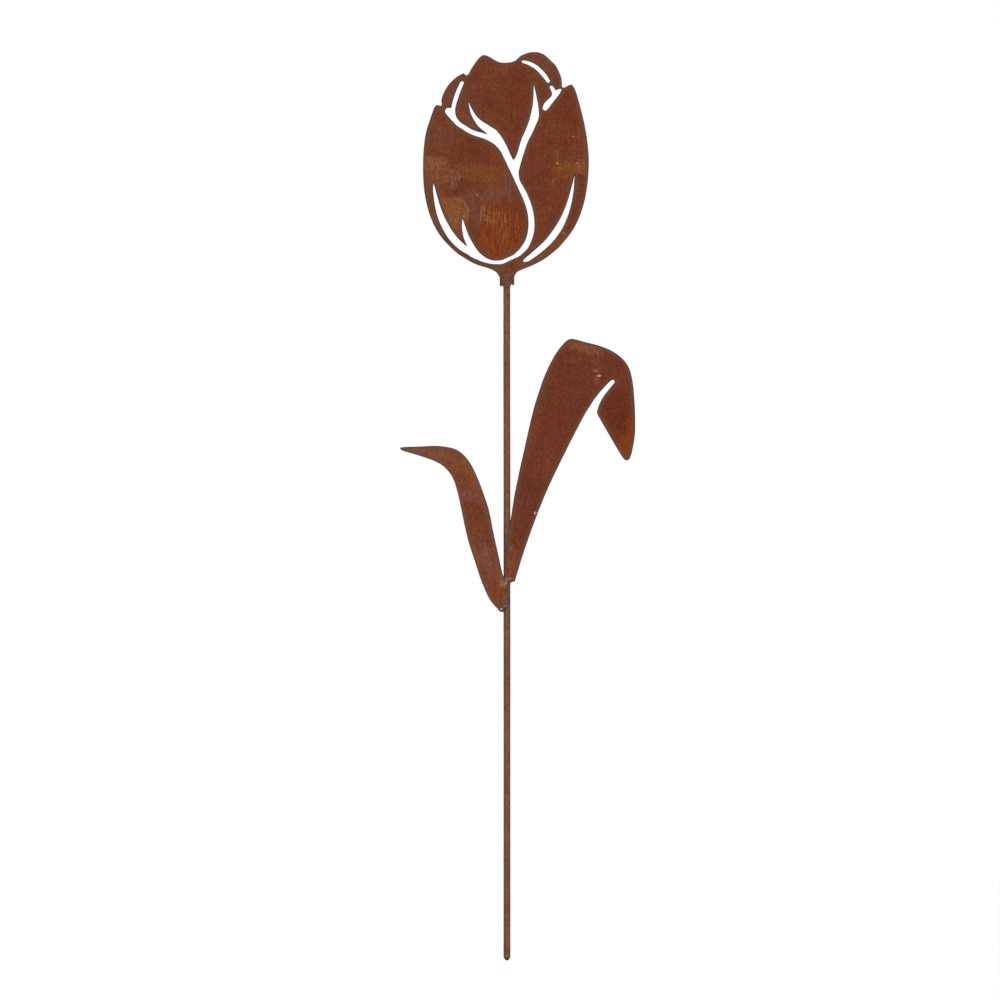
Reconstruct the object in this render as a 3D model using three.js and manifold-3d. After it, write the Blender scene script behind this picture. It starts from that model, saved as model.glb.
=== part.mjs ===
import * as THREE from "three";
import { mergeVertices } from "three/addons/utils/BufferGeometryUtils.js";
import Module from "manifold-3d";

// A tulip on a garden stake, all of rusty steel: a flower and two leaves, cut flat from one
// sheet, welded to the front of a round bar.
// Millimetres, +Z up. The flower faces -Y. The origin is the bar's lower end, on its axis.

const clearance = 0.3; // air between a piece and what it is welded to
const sheetThickness = 2;

// The bar, and the blunt point that goes into the soil
const barDiameter = 6;
const barBehindFlower = 14.5; // how far the bar runs up behind the flower's foot
const barTopChamfer = 0.5;
const pointLength = 2.6;
const pointEndDiameter = 2.4; // the flat end of the point

// Heights along the bar
const leafJointHeight = 335.1; // lower left corner of the broad leaf, where the leaves meet
const flowerAboveJoint = 255.8;

// The flower
const flowerWidth = 145;
const flowerHeight = 202.8;
const neckHeight = 6; // straight part of the neck, where the ears are folded back
const earGap = 1.4; // air between the bar and each ear
const earReach = 5.6; // how far the ears reach behind the sheet's back face
const earDrop = 1; // how far the left ear hangs below the neck's front and the right ear
const insideBendRadius = 0.8;

// The broad leaf, on the right
const broadLeafReach = 112.2; // from the bar's axis to the outermost point
const broadLeafHeight = 212;
const broadLeafOverBar = 5.3; // how far it covers the bar from the bar's right side
const broadLeafBelowJoint = 3.9;

// The slender leaf, on the left
const slenderLeafReach = 93.4;
const slenderLeafHeight = 141.8;
const slenderLeafOverBar = 1.7; // how far it covers the bar from the bar's left side
const slenderLeafBelowJoint = 27.2;
const slenderShoulder = 3.6; // from the joint down to where its edge turns onto the bar
const cornerGap = 0.45; // air between the two leaves' corners at the joint

// Weld metal. The drops of a bead are given as shares of its radius.
const neckBeadRadius = 1.7;
const backBeadRadius = 1.9;
const backBeadBehindSheet = 1.5; // from the sheet's back to the bead's middle
const backTackLength = 15; // behind the broad leaf
const backTackAboveJoint = 25;
const seamBeadRadius = 1.2;
const seamBelowJoint = 7; // from the leaves' joint down to the seam's upper end
const jointBeadRadius = 2.9;
const jointBeadLength = 9.8;
const jointBeadPastBar = 1.7; // how far the bead's right end is beyond the bar's right side
const jointBeadFalls = [2.6, 3.8]; // from the joint down to the bead's right and left end
const jointBeadDrops = [0.6, 0.75, 0.92, 1, 0.7];
const jointBeadFlatness = 0.6;
const footBeadRadius = 1.9;
const footBeadLength = 3.8;
const footBeadPastBar = 0.8; // from the bar's left side to the middle of the first drop
const footBeadFalls = [1.3, 0.4]; // from the slender leaf's foot down to the bead's two ends
const footBeadDrops = [1, 0.8, 0.4];
const dropStep = 1.1; // from one drop of a plain bead to the next, in drop radii
const dropUnevenness = 0.08;
const dropUnevenTurn = 2.3; // radians from one drop to the next

// Fineness of the curves
const stepsPerSpan = 4; // straight steps between two points of a curve
const barSides = 40;
const capSteps = 6; // in a half circle
const samePoint = 1e-4; // points nearer than this are one point

// Worked out from the sizes above
const barRadius = barDiameter / 2;
const sheetBack = -(barRadius + clearance);
const sheetFront = sheetBack - sheetThickness;
const flowerFoot = leafJointHeight + flowerAboveJoint;
const broadLeafFoot = leafJointHeight - broadLeafBelowJoint;
const slenderLeafFoot = leafJointHeight - slenderLeafBelowJoint;
const barTop = flowerFoot + barBehindFlower;
const neckWidth = barDiameter + 2 * (earGap + sheetThickness);
const bendCentre = neckWidth / 2 - sheetThickness - insideBendRadius;
const jointX = barRadius - broadLeafOverBar;
const seamX = slenderLeafOverBar - barRadius;

const library = await Module();
library.setup();

function toSolid(geometry) {
  const bare = geometry.clone();
  bare.deleteAttribute("normal");
  bare.deleteAttribute("uv");
  const merged = mergeVertices(bare, samePoint);
  return new library.Manifold(
    new library.Mesh({
      numProp: 3,
      vertProperties: merged.attributes.position.array,
      triVerts: merged.index.array,
    }),
  );
}

function toGeometry(solid) {
  const mesh = solid.getMesh();
  const geometry = new THREE.BufferGeometry();
  geometry.setAttribute("position", new THREE.BufferAttribute(mesh.vertProperties, 3));
  geometry.setIndex(new THREE.BufferAttribute(mesh.triVerts, 1));
  geometry.computeVertexNormals();
  return geometry;
}

// A plate's outline and its cut lines are drawn in hundredths of the plate's own size: across from
// the bar's axis and up from the plate's foot. A third number is a cut line's width in millimetres.
function drawnOn(across, up) {
  return ([x, y, width = 0]) => new THREE.Vector3((x * across) / 100, (y * up) / 100, width / 2);
}

const at = (x, y) => new THREE.Vector3(x, y, 0);
const sheetNormal = new THREE.Vector3(0, 0, 1);

function smoothCurve(points) {
  return new THREE.CatmullRomCurve3(points, false, "centripetal");
}

// A closed outline made of runs: smooth along each run, with a corner where the next one starts.
function closedOutline(runs) {
  return runs.flatMap((run) => {
    const steps = run.length > 2 ? (run.length - 1) * stepsPerSpan : 1;
    return smoothCurve(run).getPoints(steps).slice(0, -1);
  });
}

// A cut line: a ribbon along a smooth centre line, as wide at each station as the station says.
// An end without width is a sharp point and any other end is round.
function cutLine(stations) {
  const curve = smoothCurve(stations);
  const steps = (stations.length - 1) * stepsPerSpan;
  const there = [];
  const back = [];
  for (let i = 0; i <= steps; i++) {
    const station = curve.getPoint(i / steps);
    const centre = at(station.x, station.y);
    const along = curve.getTangent(i / steps).setZ(0).setLength(station.z);
    const aside = at(-along.y, along.x);
    there.push(centre.clone().add(aside));
    back.unshift(centre.clone().sub(aside));
  }
  return [...there, ...roundEnd(there.at(-1), back[0]), ...back, ...roundEnd(back.at(-1), there[0])];
}

// The half circle from one side of a ribbon's end, round to the other side
function roundEnd(from, to) {
  const centre = from.clone().lerp(to, 0.5);
  const points = [];
  for (let i = 1; i < capSteps; i++) {
    const arm = from.clone().sub(centre);
    points.push(arm.applyAxisAngle(sheetNormal, (-i * Math.PI) / capSteps).add(centre));
  }
  return points;
}

// Pushes an outline outwards by a distance.
function outset(points, distance) {
  const outwards = THREE.ShapeUtils.isClockWise(points) ? distance : -distance;
  return points.map((point, i) => {
    const before = points[(i + points.length - 1) % points.length];
    const after = points[(i + 1) % points.length];
    const along = after.clone().sub(before).normalize().multiplyScalar(outwards);
    return at(point.x - along.y, point.y + along.x);
  });
}

// The sheet inside an outline, lying with its back face at 0. As the hole that a cut leaves, or as
// the room that a piece needs, it also reaches some way behind and before the sheet.
function sheetPiece(points, behind = 0, before = 0) {
  const distinct = points.filter((point, i) => point.distanceTo(points.at(i - 1)) > samePoint);
  const geometry = new THREE.ExtrudeGeometry(new THREE.Shape(distinct), {
    depth: behind + sheetThickness + before,
    bevelEnabled: false,
  });
  geometry.translate(0, 0, -behind);
  return toSolid(geometry);
}

function box(low, high) {
  const size = high.clone().sub(low);
  const middle = low.clone().add(high).multiplyScalar(0.5);
  const geometry = new THREE.BoxGeometry(size.x, size.y, size.z);
  geometry.translate(middle.x, middle.y, middle.z);
  return toSolid(geometry);
}

// The outline of the flower, petal by petal, clockwise from the left side of the neck
function flowerOutline() {
  const drawn = drawnOn(flowerWidth / 2, flowerHeight);
  const left = -neckWidth / 2;
  const right = neckWidth / 2;
  const leftPetal = [
    [-10.3, 3.9], [-12.6, 5.1], [-19.2, 6.5], [-38.5, 8.8], [-54.0, 12.0], [-60.1, 13.5],
    [-84.1, 23.3], [-97.5, 36.1], [-101.1, 50.1], [-98.3, 63.8], [-92.0, 71.6], [-86.0, 76.8],
    [-83.5, 77.1], [-79.7, 76.7],
  ];
  const secondPetal = [
    [-79.7, 76.7], [-78.3, 77.6], [-79.1, 78.9], [-73.3, 84.3], [-62.0, 88.8], [-52.3, 90.8],
  ];
  const middlePetal = [
    [-52.3, 90.8], [-49.4, 89.9], [-46.9, 90.2], [-40.9, 93.8], [-31.7, 98.0], [-27.3, 98.6],
    [-22.5, 98.1], [-10.2, 95.7], [-1.1, 95.3], [8.4, 95.8],
  ];
  const curledPetal = [
    [8.4, 95.8], [12.7, 96.9], [16.3, 98.1], [31.4, 99.9], [43.2, 99.0], [53.6, 95.8],
    [58.2, 94.2], [65.1, 89.1], [66.3, 86.0],
  ];
  const rightPetal = [
    [66.3, 86.0], [66.2, 85.2], [68.2, 84.6], [76.5, 85.9], [79.5, 85.4], [90.6, 73.1],
    [96.9, 61.0], [98.8, 50.1], [91.6, 33.5], [77.7, 22.5], [53.0, 13.0], [34.4, 8.8], [23.3, 7.1],
    [12.8, 5.4], [9.7, 4.0],
  ];
  return closedOutline([
    [at(-bendCentre, neckHeight / 2), at(-bendCentre, neckHeight)],
    [at(-bendCentre, neckHeight), at(left, neckHeight)],
    [at(left, neckHeight), ...leftPetal.map(drawn)],
    secondPetal.map(drawn),
    middlePetal.map(drawn),
    curledPetal.map(drawn),
    [...rightPetal.map(drawn), at(right, neckHeight)],
    [at(right, neckHeight), at(bendCentre, neckHeight)],
    [at(bendCentre, neckHeight), at(bendCentre, neckHeight / 2)],
    [at(bendCentre, neckHeight / 2), at(-bendCentre, neckHeight / 2)],
  ]);
}

// The cut lines that draw the petals
function petalLines() {
  const drawn = drawnOn(flowerWidth / 2, flowerHeight);
  const lines = {
    leftPetalRim: [
      [-54.2, 86.7, 3.1], [-60.2, 81.5, 3.7], [-64.8, 74.6, 3.6], [-60.9, 69.9, 4.7],
      [-53.6, 67.9, 4.5], [-42.3, 65.5, 4.3], [-24.2, 63.3, 5.0], [-15.6, 61.7, 5.3],
    ],
    rimStub: [[-71.1, 74.7, 4.9], [-64.6, 71.7, 5.8], [-60.2, 69.8, 4.8]],
    rimStubTop: [[-71.0, 74.8, 4.8], [-65.0, 74.9, 3.7]],
    innerTail: [
      [-46.5, 78.4, 0], [-43.9, 76.1, 1.8], [-41.5, 73.7, 3.1], [-38.5, 71.8, 4.0],
      [-32.6, 69.3, 6.1], [-25.0, 67.2, 7.5], [-16.6, 64.7, 9.2],
    ],
    rightTail: [
      [32.1, 85.7, 0], [33.4, 82.8, 1.8], [34.3, 77.2, 4.6], [33.2, 72.2, 7.2], [29.9, 68.7, 6.5],
      [25.7, 65.2, 6.2], [22.0, 62.5, 5.9], [15.1, 55.2, 5.5], [10.7, 51.1, 7.2], [9.7, 48.3, 6.1],
    ],
    frontPetalEdge: [
      [-15.2, 63.5, 10.3], [-12.5, 62.4, 9.8], [-4.9, 58.8, 7.2], [-0.5, 55.7, 6.4],
      [9.4, 48.1, 6.4], [12.1, 44.8, 4.5], [21.7, 38.1, 4.8], [28.8, 30.1, 5.3],
      [29.0, 22.9, 5.2], [25.1, 18.1, 5.2], [21.4, 15.8, 5.3], [17.8, 14.3, 4.5],
      [13.8, 13.0, 4.3], [9.6, 12.0, 3.1], [-1.6, 10.2, 2.9], [-5.7, 9.6, 3.2],
      [-18.4, 9.6, 3.3], [-29.8, 11.0, 5.2],
    ],
    leftCrescent: [
      [-88.6, 44.3, 0], [-87.6, 40.7, 2.0], [-79.7, 29.2, 5.3], [-65.7, 20.2, 6.4],
      [-52.7, 15.8, 6.3], [-45.1, 14.6, 7.7], [-38.4, 13.0, 7.5], [-27.6, 10.7, 4.7],
    ],
    baseTail: [
      [-53.6, 28.6, 0], [-52.0, 24.4, 3.0], [-48.6, 20.1, 4.7], [-41.3, 15.2, 5.9],
      [-36.1, 12.8, 6.1],
    ],
    rightCrescent: [
      [81.8, 47.3, 0], [78.8, 41.0, 2.2], [75.4, 35.6, 3.6], [69.9, 29.7, 4.8],
      [62.4, 24.4, 5.8], [48.1, 17.7, 5.6], [25.1, 10.9, 4.5], [21.1, 10.2, 2.8],
    ],
    crestArc: [
      [19.6, 95.8, 2.8], [25.9, 95.2, 3.2], [35.2, 93.4, 3.6], [44.9, 89.9, 3.7],
      [49.6, 87.5, 3.1],
    ],
    curlLeft: [[53.6, 84.8, 3.0], [56.7, 82.7, 4.0], [56.5, 81.2, 3.6]],
    curlRight: [
      [63.9, 83.6, 2.4], [61.9, 83.0, 3.9], [58.2, 81.4, 4.2], [48.2, 77.2, 5.5],
      [46.3, 75.9, 4.9],
    ],
  };
  return Object.values(lines).map((stations) => cutLine(stations.map(drawn)));
}

// The neck: the foot of the sheet folded back on both sides into ears that straddle the bar
function foldedNeck() {
  const side = neckWidth / 2;
  const bend = insideBendRadius + sheetThickness;
  const profile = new THREE.Shape();
  profile.moveTo(-side, earReach);
  profile.lineTo(-side, insideBendRadius);
  profile.absarc(-bendCentre, insideBendRadius, bend, Math.PI, 1.5 * Math.PI, false);
  profile.absarc(bendCentre, insideBendRadius, bend, 1.5 * Math.PI, 2 * Math.PI, false);
  profile.lineTo(side, earReach);
  profile.lineTo(side - sheetThickness, earReach);
  profile.absarc(bendCentre, insideBendRadius, insideBendRadius, 0, -0.5 * Math.PI, true);
  profile.absarc(-bendCentre, insideBendRadius, insideBendRadius, 1.5 * Math.PI, Math.PI, true);
  profile.lineTo(sheetThickness - side, earReach);
  const geometry = new THREE.ExtrudeGeometry(profile, {
    depth: neckHeight + earDrop,
    bevelEnabled: false,
    curveSegments: capSteps,
  });
  geometry.rotateX(-Math.PI / 2);
  geometry.translate(0, -earDrop, 0);
  const underFrontAndRightEar = box(
    new THREE.Vector3(-bendCentre, -2 * earDrop, -2 * earReach),
    new THREE.Vector3(neckWidth, 0, 2 * sheetThickness),
  );
  return toSolid(geometry).subtract(underFrontAndRightEar);
}

function flowerSolid() {
  const overcut = sheetThickness / 2;
  let flower = sheetPiece(flowerOutline()).add(foldedNeck());
  for (const line of petalLines()) {
    flower = flower.subtract(sheetPiece(line, overcut, overcut));
  }
  return flower;
}

// The broad leaf, whose tip is folded over in the drawing: a narrow cut parts the tip from the blade
function broadLeafOutline() {
  const drawn = drawnOn(broadLeafReach, broadLeafHeight);
  const innerEdge = [
    [-1.9, 8.2], [-0.8, 13.9], [3.2, 26.7], [9.2, 44.4], [13.0, 53.5], [19.3, 68.1],
    [23.1, 75.3], [37.0, 93.1], [47.1, 99.5], [50.6, 100.0],
  ];
  const outerEdge = [
    [60.7, 98.7], [72.4, 97.1], [81.0, 95.2], [88.4, 92.6], [93.8, 89.4], [96.5, 86.0],
    [99.3, 73.6], [99.4, 59.2], [97.8, 54.9], [95.9, 50.9], [93.6, 50.0], [91.4, 50.4],
    [88.0, 52.8],
  ];
  const underTip = [[88.0, 52.8], [70.8, 68.6]];
  const bladeEdge = [
    [70.8, 68.6], [70.1, 69.7], [72.4, 73.8], [76.3, 77.2], [83.8, 82.0], [83.8, 82.7],
    [82.8, 83.1], [81.5, 83.0], [68.7, 75.6], [64.6, 72.3], [60.9, 69.2], [45.2, 53.2], [29.6, 35.7],
    [14.0, 13.7], [6.0, 0],
  ];
  const joint = at(jointX, broadLeafBelowJoint);
  return closedOutline([
    [joint, ...innerEdge.map(drawn), ...outerEdge.map(drawn)],
    underTip.map(drawn),
    bladeEdge.map(drawn),
    [drawn(bladeEdge.at(-1)), joint],
  ]);
}

// The slender leaf, which bows over to the left
function slenderLeafOutline() {
  const drawn = drawnOn(slenderLeafReach, slenderLeafHeight);
  const innerEdge = [
    [-4.2, 21.5], [-6.5, 28.4], [-13.4, 49.2], [-15.4, 56.1], [-26.6, 79.0], [-36.9, 92.0],
    [-46.7, 97.7], [-62.6, 100.0], [-81.3, 99.7], [-97.2, 99.3],
  ];
  const tipAndOuterEdge = [
    [-99.8, 98.9], [-99.2, 97.8], [-84.1, 94.5], [-67.3, 90.6], [-59.8, 87.8], [-53.3, 83.4],
    [-48.7, 77.5], [-36.6, 42.8], [-28.9, 26.8], [-23.4, 16.0], [-15.6, 5.0], [-9.1, 0],
  ];
  const foot = at(seamX, 0);
  const shoulder = at(seamX, slenderLeafBelowJoint - slenderShoulder);
  const besideJoint = at(jointX - cornerGap, slenderLeafBelowJoint);
  return closedOutline([
    [foot, shoulder],
    [shoulder, besideJoint, ...innerEdge.map(drawn), ...tipAndOuterEdge.map(drawn)],
    [drawn(tipAndOuterEdge.at(-1)), foot],
  ]);
}

// The bar: turned from a profile, with its blunt point at the bottom
function barGeometry() {
  const profile = [
    [0, 0],
    [pointEndDiameter / 2, 0],
    [barRadius, pointLength],
    [barRadius, barTop - barTopChamfer],
    [barRadius - barTopChamfer, barTop],
    [0, barTop],
  ];
  return new THREE.LatheGeometry(
    profile.map(([radius, height]) => new THREE.Vector2(radius, height)),
    barSides,
  );
}

// The room that the pieces need, which weld metal keeps out of
function roomOfBar() {
  const room = new THREE.CylinderGeometry(barRadius + clearance, barRadius + clearance, barTop, barSides);
  room.rotateX(Math.PI / 2);
  room.translate(0, 0, barTop / 2);
  return toSolid(room);
}

// Weld metal laid from the front doesn't get behind the sheet, so its room reaches to the bar's axis.
function roomOfSheet(outline, foot) {
  const room = toGeometry(sheetPiece(outset(outline, clearance), -sheetBack, clearance));
  room.rotateX(Math.PI / 2);
  room.translate(0, sheetBack, foot);
  return toSolid(room);
}

function roomOfNeck() {
  const side = neckWidth / 2;
  return box(
    new THREE.Vector3(-side, sheetFront - clearance, flowerFoot - clearance),
    new THREE.Vector3(side, 0, flowerFoot + neckHeight),
  );
}

// Everything in front of the sheet's back face
function roomBeforeBack() {
  return box(
    new THREE.Vector3(-flowerWidth, sheetFront - flowerWidth, 0),
    new THREE.Vector3(flowerWidth, sheetBack + clearance, flowerFoot + flowerHeight),
  );
}

// Weld metal: drops that set one over another along a line, and flattened from front to back. The
// pieces that it joins are cut out of it.
function weldMetal({ from, to, radius, shares, flatness = 1, rooms }) {
  let metal = null;
  shares.forEach((share, i) => {
    const drop = new THREE.IcosahedronGeometry(radius * share, 1);
    const centre = from.clone().lerp(to, i / (shares.length - 1));
    drop.scale(1, flatness, 1);
    drop.translate(centre.x, centre.y, centre.z);
    metal = metal ? metal.add(toSolid(drop)) : toSolid(drop);
  });
  for (const room of rooms) {
    metal = metal.subtract(room);
  }
  return metal;
}

// A plain bead: as many drops as its length asks for, a little uneven in size
function plainBead(bead) {
  const gaps = Math.max(1, Math.round(bead.from.distanceTo(bead.to) / (dropStep * bead.radius)));
  const shares = [];
  for (let i = 0; i <= gaps; i++) {
    shares.push(1 + dropUnevenness * Math.sin(i * dropUnevenTurn));
  }
  return weldMetal({ ...bead, shares });
}

function neckFrontWeld() {
  const depth = sheetFront + neckBeadRadius / 2;
  const height = flowerFoot - neckBeadRadius / 3;
  return plainBead({
    from: new THREE.Vector3(-barRadius / 2, depth, height),
    to: new THREE.Vector3(barRadius / 2, depth, height),
    radius: neckBeadRadius,
    rooms: [roomOfBar(), roomOfNeck()],
  });
}

// In the corner between the sheet's back and one side of the bar
function backWeld(side, low, high) {
  const across = side * (barRadius + backBeadRadius / 2);
  const depth = sheetBack + backBeadBehindSheet;
  return plainBead({
    from: new THREE.Vector3(across, depth, low + backBeadRadius),
    to: new THREE.Vector3(across, depth, high - backBeadRadius),
    radius: backBeadRadius,
    rooms: [roomOfBar(), roomBeforeBack()],
  });
}

// Down the slender leaf's edge, where it lies on the bar
function leafSeamWeld(rooms) {
  const across = seamX + seamBeadRadius / 2;
  const depth = sheetBack - seamBeadRadius / 2;
  return plainBead({
    from: new THREE.Vector3(across, depth, slenderLeafFoot + seamBeadRadius),
    to: new THREE.Vector3(across, depth, leafJointHeight - seamBelowJoint),
    radius: seamBeadRadius,
    rooms,
  });
}

// Across the bar under the broad leaf's foot, and over the slender leaf's edge
function leafJointWeld(rooms) {
  const right = barRadius + jointBeadPastBar;
  const left = right - jointBeadLength;
  const [rightFall, leftFall] = jointBeadFalls;
  return weldMetal({
    from: new THREE.Vector3(right, sheetFront, leafJointHeight - rightFall),
    to: new THREE.Vector3(left, sheetFront, leafJointHeight - leftFall),
    radius: jointBeadRadius,
    shares: jointBeadDrops,
    flatness: jointBeadFlatness,
    rooms,
  });
}

// In the corner under the slender leaf's foot, beside the bar
function leafFootWeld(rooms) {
  const depth = sheetBack - footBeadRadius / 3;
  const right = -barRadius - footBeadPastBar;
  const left = right - footBeadLength;
  const [rightFall, leftFall] = footBeadFalls;
  return weldMetal({
    from: new THREE.Vector3(right, depth, slenderLeafFoot - rightFall),
    to: new THREE.Vector3(left, depth, slenderLeafFoot - leftFall),
    radius: footBeadRadius,
    shares: footBeadDrops,
    rooms,
  });
}

function rust(color, roughness) {
  return new THREE.MeshStandardMaterial({ color, roughness, metalness: 0.2, flatShading: true });
}

const group = new THREE.Group();

function addPiece(name, geometry, material) {
  const mesh = new THREE.Mesh(geometry, material);
  mesh.name = name;
  group.add(mesh);
  return mesh;
}

// Weld metal is made where it sits, then drawn about its own middle.
function addWeld(name, metal) {
  const geometry = toGeometry(metal);
  geometry.computeBoundingBox();
  const middle = geometry.boundingBox.getCenter(new THREE.Vector3());
  geometry.translate(-middle.x, -middle.y, -middle.z);
  addPiece(name, geometry, rust(0x7e5238, 0.8)).position.copy(middle);
}

// A flat piece is drawn lying down, then stood up with its back face against the bar's front.
function addSheet(name, solid, foot, material) {
  const mesh = addPiece(name, toGeometry(solid), material);
  mesh.rotation.x = Math.PI / 2;
  mesh.position.set(0, sheetBack, foot);
}

const bar = addPiece("stem_rod", barGeometry(), rust(0x6a4231, 0.85));
bar.rotation.x = Math.PI / 2;

const broadOutline = broadLeafOutline();
const slenderOutline = slenderLeafOutline();
addSheet("tulip_head", flowerSolid(), flowerFoot, rust(0x6f3d25, 0.9));
addSheet("broad_leaf", sheetPiece(broadOutline), broadLeafFoot, rust(0x6b3724, 0.9));
addSheet("slender_leaf", sheetPiece(slenderOutline), slenderLeafFoot, rust(0x743f28, 0.9));

const leafRooms = [
  roomOfBar(),
  roomOfSheet(broadOutline, broadLeafFoot),
  roomOfSheet(slenderOutline, slenderLeafFoot),
];
const aboveEars = flowerFoot + neckHeight + clearance;
const tackMiddle = leafJointHeight + backTackAboveJoint;
const welds = {
  neck_weld_front: neckFrontWeld(),
  neck_weld_left: backWeld(-1, aboveEars, barTop),
  neck_weld_right: backWeld(1, aboveEars, barTop),
  broad_leaf_back_weld: backWeld(1, tackMiddle - backTackLength / 2, tackMiddle + backTackLength / 2),
  leaf_joint_weld: leafJointWeld(leafRooms),
  slender_leaf_seam_weld: leafSeamWeld(leafRooms),
  slender_leaf_foot_weld: leafFootWeld(leafRooms),
};
for (const [name, metal] of Object.entries(welds)) {
  addWeld(name, metal);
}

export default group;
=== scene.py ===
import math
import bpy
import numpy as np
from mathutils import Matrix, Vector
from mathutils.geometry import delaunay_2d_cdt

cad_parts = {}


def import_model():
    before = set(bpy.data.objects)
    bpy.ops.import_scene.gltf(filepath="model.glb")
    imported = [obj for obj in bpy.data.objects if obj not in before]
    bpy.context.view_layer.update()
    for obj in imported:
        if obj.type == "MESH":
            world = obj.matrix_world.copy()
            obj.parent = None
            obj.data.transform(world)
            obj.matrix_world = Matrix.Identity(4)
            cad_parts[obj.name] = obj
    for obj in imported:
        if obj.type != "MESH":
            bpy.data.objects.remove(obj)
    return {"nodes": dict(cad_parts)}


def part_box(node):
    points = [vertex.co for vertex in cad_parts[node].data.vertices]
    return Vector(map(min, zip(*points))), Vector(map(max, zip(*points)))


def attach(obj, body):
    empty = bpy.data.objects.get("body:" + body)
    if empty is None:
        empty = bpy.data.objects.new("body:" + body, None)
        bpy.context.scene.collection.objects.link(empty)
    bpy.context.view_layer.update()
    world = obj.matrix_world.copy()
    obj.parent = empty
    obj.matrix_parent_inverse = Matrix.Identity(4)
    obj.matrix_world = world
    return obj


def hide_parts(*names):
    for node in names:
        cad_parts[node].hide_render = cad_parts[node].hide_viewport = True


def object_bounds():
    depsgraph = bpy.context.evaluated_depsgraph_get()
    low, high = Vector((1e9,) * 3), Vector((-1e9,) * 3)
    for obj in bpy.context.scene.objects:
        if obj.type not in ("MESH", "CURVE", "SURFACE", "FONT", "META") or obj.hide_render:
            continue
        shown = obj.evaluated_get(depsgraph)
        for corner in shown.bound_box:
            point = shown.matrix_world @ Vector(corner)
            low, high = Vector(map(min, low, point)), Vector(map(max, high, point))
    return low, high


# Rusty steel tulip on a garden stake. Lengths in the dictionaries are millimetres, colours are
# 0 to 255 as a picture shows them.
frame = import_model()
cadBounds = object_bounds()
nodes = frame["nodes"]
print("frame loaded,", len(nodes), "CAD nodes")

sameLength = 0.01  # lengths that differ by less count as equal


def after(loop):
    return np.roll(loop, -1, axis=0)


def before(loop):
    return np.roll(loop, 1, axis=0)


def lengthOf(vectors):
    return np.linalg.norm(vectors, axis=1)


def unit(vectors):
    return vectors / np.maximum(lengthOf(vectors), 1e-6)[:, None]


def runningSum(steps):
    return np.concatenate([[0], np.cumsum(steps)])


def circle(sides):
    angle = np.arange(sides) * 2 * np.pi / sides
    return np.cos(angle), np.sin(angle)


def waves(points, size, seed, count=10):
    # Smooth uneven field between about -1 and 1, made of plane waves about as long as the size
    draw = np.random.default_rng(seed)
    way = unit(draw.normal(size=(count, points.shape[1])))
    way *= 2 * np.pi / (size * draw.uniform(0.6, 1.7, (count, 1)))
    phase = draw.uniform(0, 2 * np.pi, count)
    return np.sin(points @ way.T + phase).sum(1) / math.sqrt(count)


def segmentsOf(loops):
    return np.vstack(loops), np.vstack([after(loop) for loop in loops])


def distanceTo(points, loops):
    # From each point to the nearest place on any segment
    starts, ends = segmentsOf(loops)
    along = ends - starts
    length2 = np.maximum((along ** 2).sum(1), 1e-12)
    best = []
    for part in np.array_split(points, max(1, len(points) // 400)):
        gap = part[:, None] - starts
        share = np.clip((gap * along).sum(2) / length2, 0, 1)
        best.append(np.sqrt(((gap - share[..., None] * along) ** 2).sum(2)).min(1))
    return np.concatenate(best)


def isInside(points, loops):
    # A point is inside when a ray towards +x crosses the loops an odd number of times.
    starts, ends = segmentsOf(loops)
    result = []
    for part in np.array_split(points, max(1, len(points) // 800)):
        px, pz = part[:, :1], part[:, 1:]
        spans = (starts[:, 1] > pz) != (ends[:, 1] > pz)
        rise = np.where(ends[:, 1] == starts[:, 1], 1e-12, ends[:, 1] - starts[:, 1])
        crossing = starts[:, 0] + (pz - starts[:, 1]) * (ends[:, 0] - starts[:, 0]) / rise
        result.append((spans & (px < crossing)).sum(1) % 2 == 1)
    return np.concatenate(result)


def inwardOf(loop):
    # Unit vectors into the metal, square to the line between each point's two neighbours
    way = after(loop) - before(loop)
    return unit(np.c_[-way[:, 1], way[:, 0]])


def turnedLeft(points, tris):
    # The triangles with their corners counter-clockwise, and twice the area of each
    a, b, c = (points[tris[:, i]] for i in range(3))
    area = (b[:, 0] - a[:, 0]) * (c[:, 1] - a[:, 1]) - (b[:, 1] - a[:, 1]) * (c[:, 0] - a[:, 0])
    return np.where((area > 0)[:, None], tris, tris[:, ::-1]), np.abs(area)


def frontLoops(node):
    # Outline and cut-outs of a flat CAD piece, as (x, z) loops with the metal on their left: the
    # edges that only one triangle of the foremost plane has, chained end to end
    node.data.calc_loop_triangles()
    xyz = np.array([tuple(vertex.co) for vertex in node.data.vertices]) * 1000
    tris = np.array([tuple(tri.vertices) for tri in node.data.loop_triangles])
    tris = tris[(xyz[tris, 1] < xyz[:, 1].min() + sameLength).all(1)]
    points, index = np.unique(np.round(xyz[:, [0, 2]], 3), axis=0, return_inverse=True)
    tris, area = turnedLeft(points, index.reshape(-1)[tris])
    tris = tris[area > 1e-9]
    edges = {(int(t[i]), int(t[(i + 1) % 3])) for t in tris for i in range(3)}
    following = {start: end for start, end in edges if (end, start) not in edges}
    loops = []
    while following:
        start, here = following.popitem()
        chain = [start]
        while here != start:
            chain.append(here)
            here = following.pop(here)
        loops.append(points[chain])
    return loops


fairing = {
    "rounds": 400,
    "shares": (0.5, -0.506),  # of the way to the neighbours' mean, and back out
    "cornerReach": 2.5,       # beside a corner the loop is held up to here
    "turnReach": 3,           # a turn is summed over this length on both sides
    "turns": (0.8, 1.6),      # radians from which a point is held, and held most
    "heldShare": 0.06,
}


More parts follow.
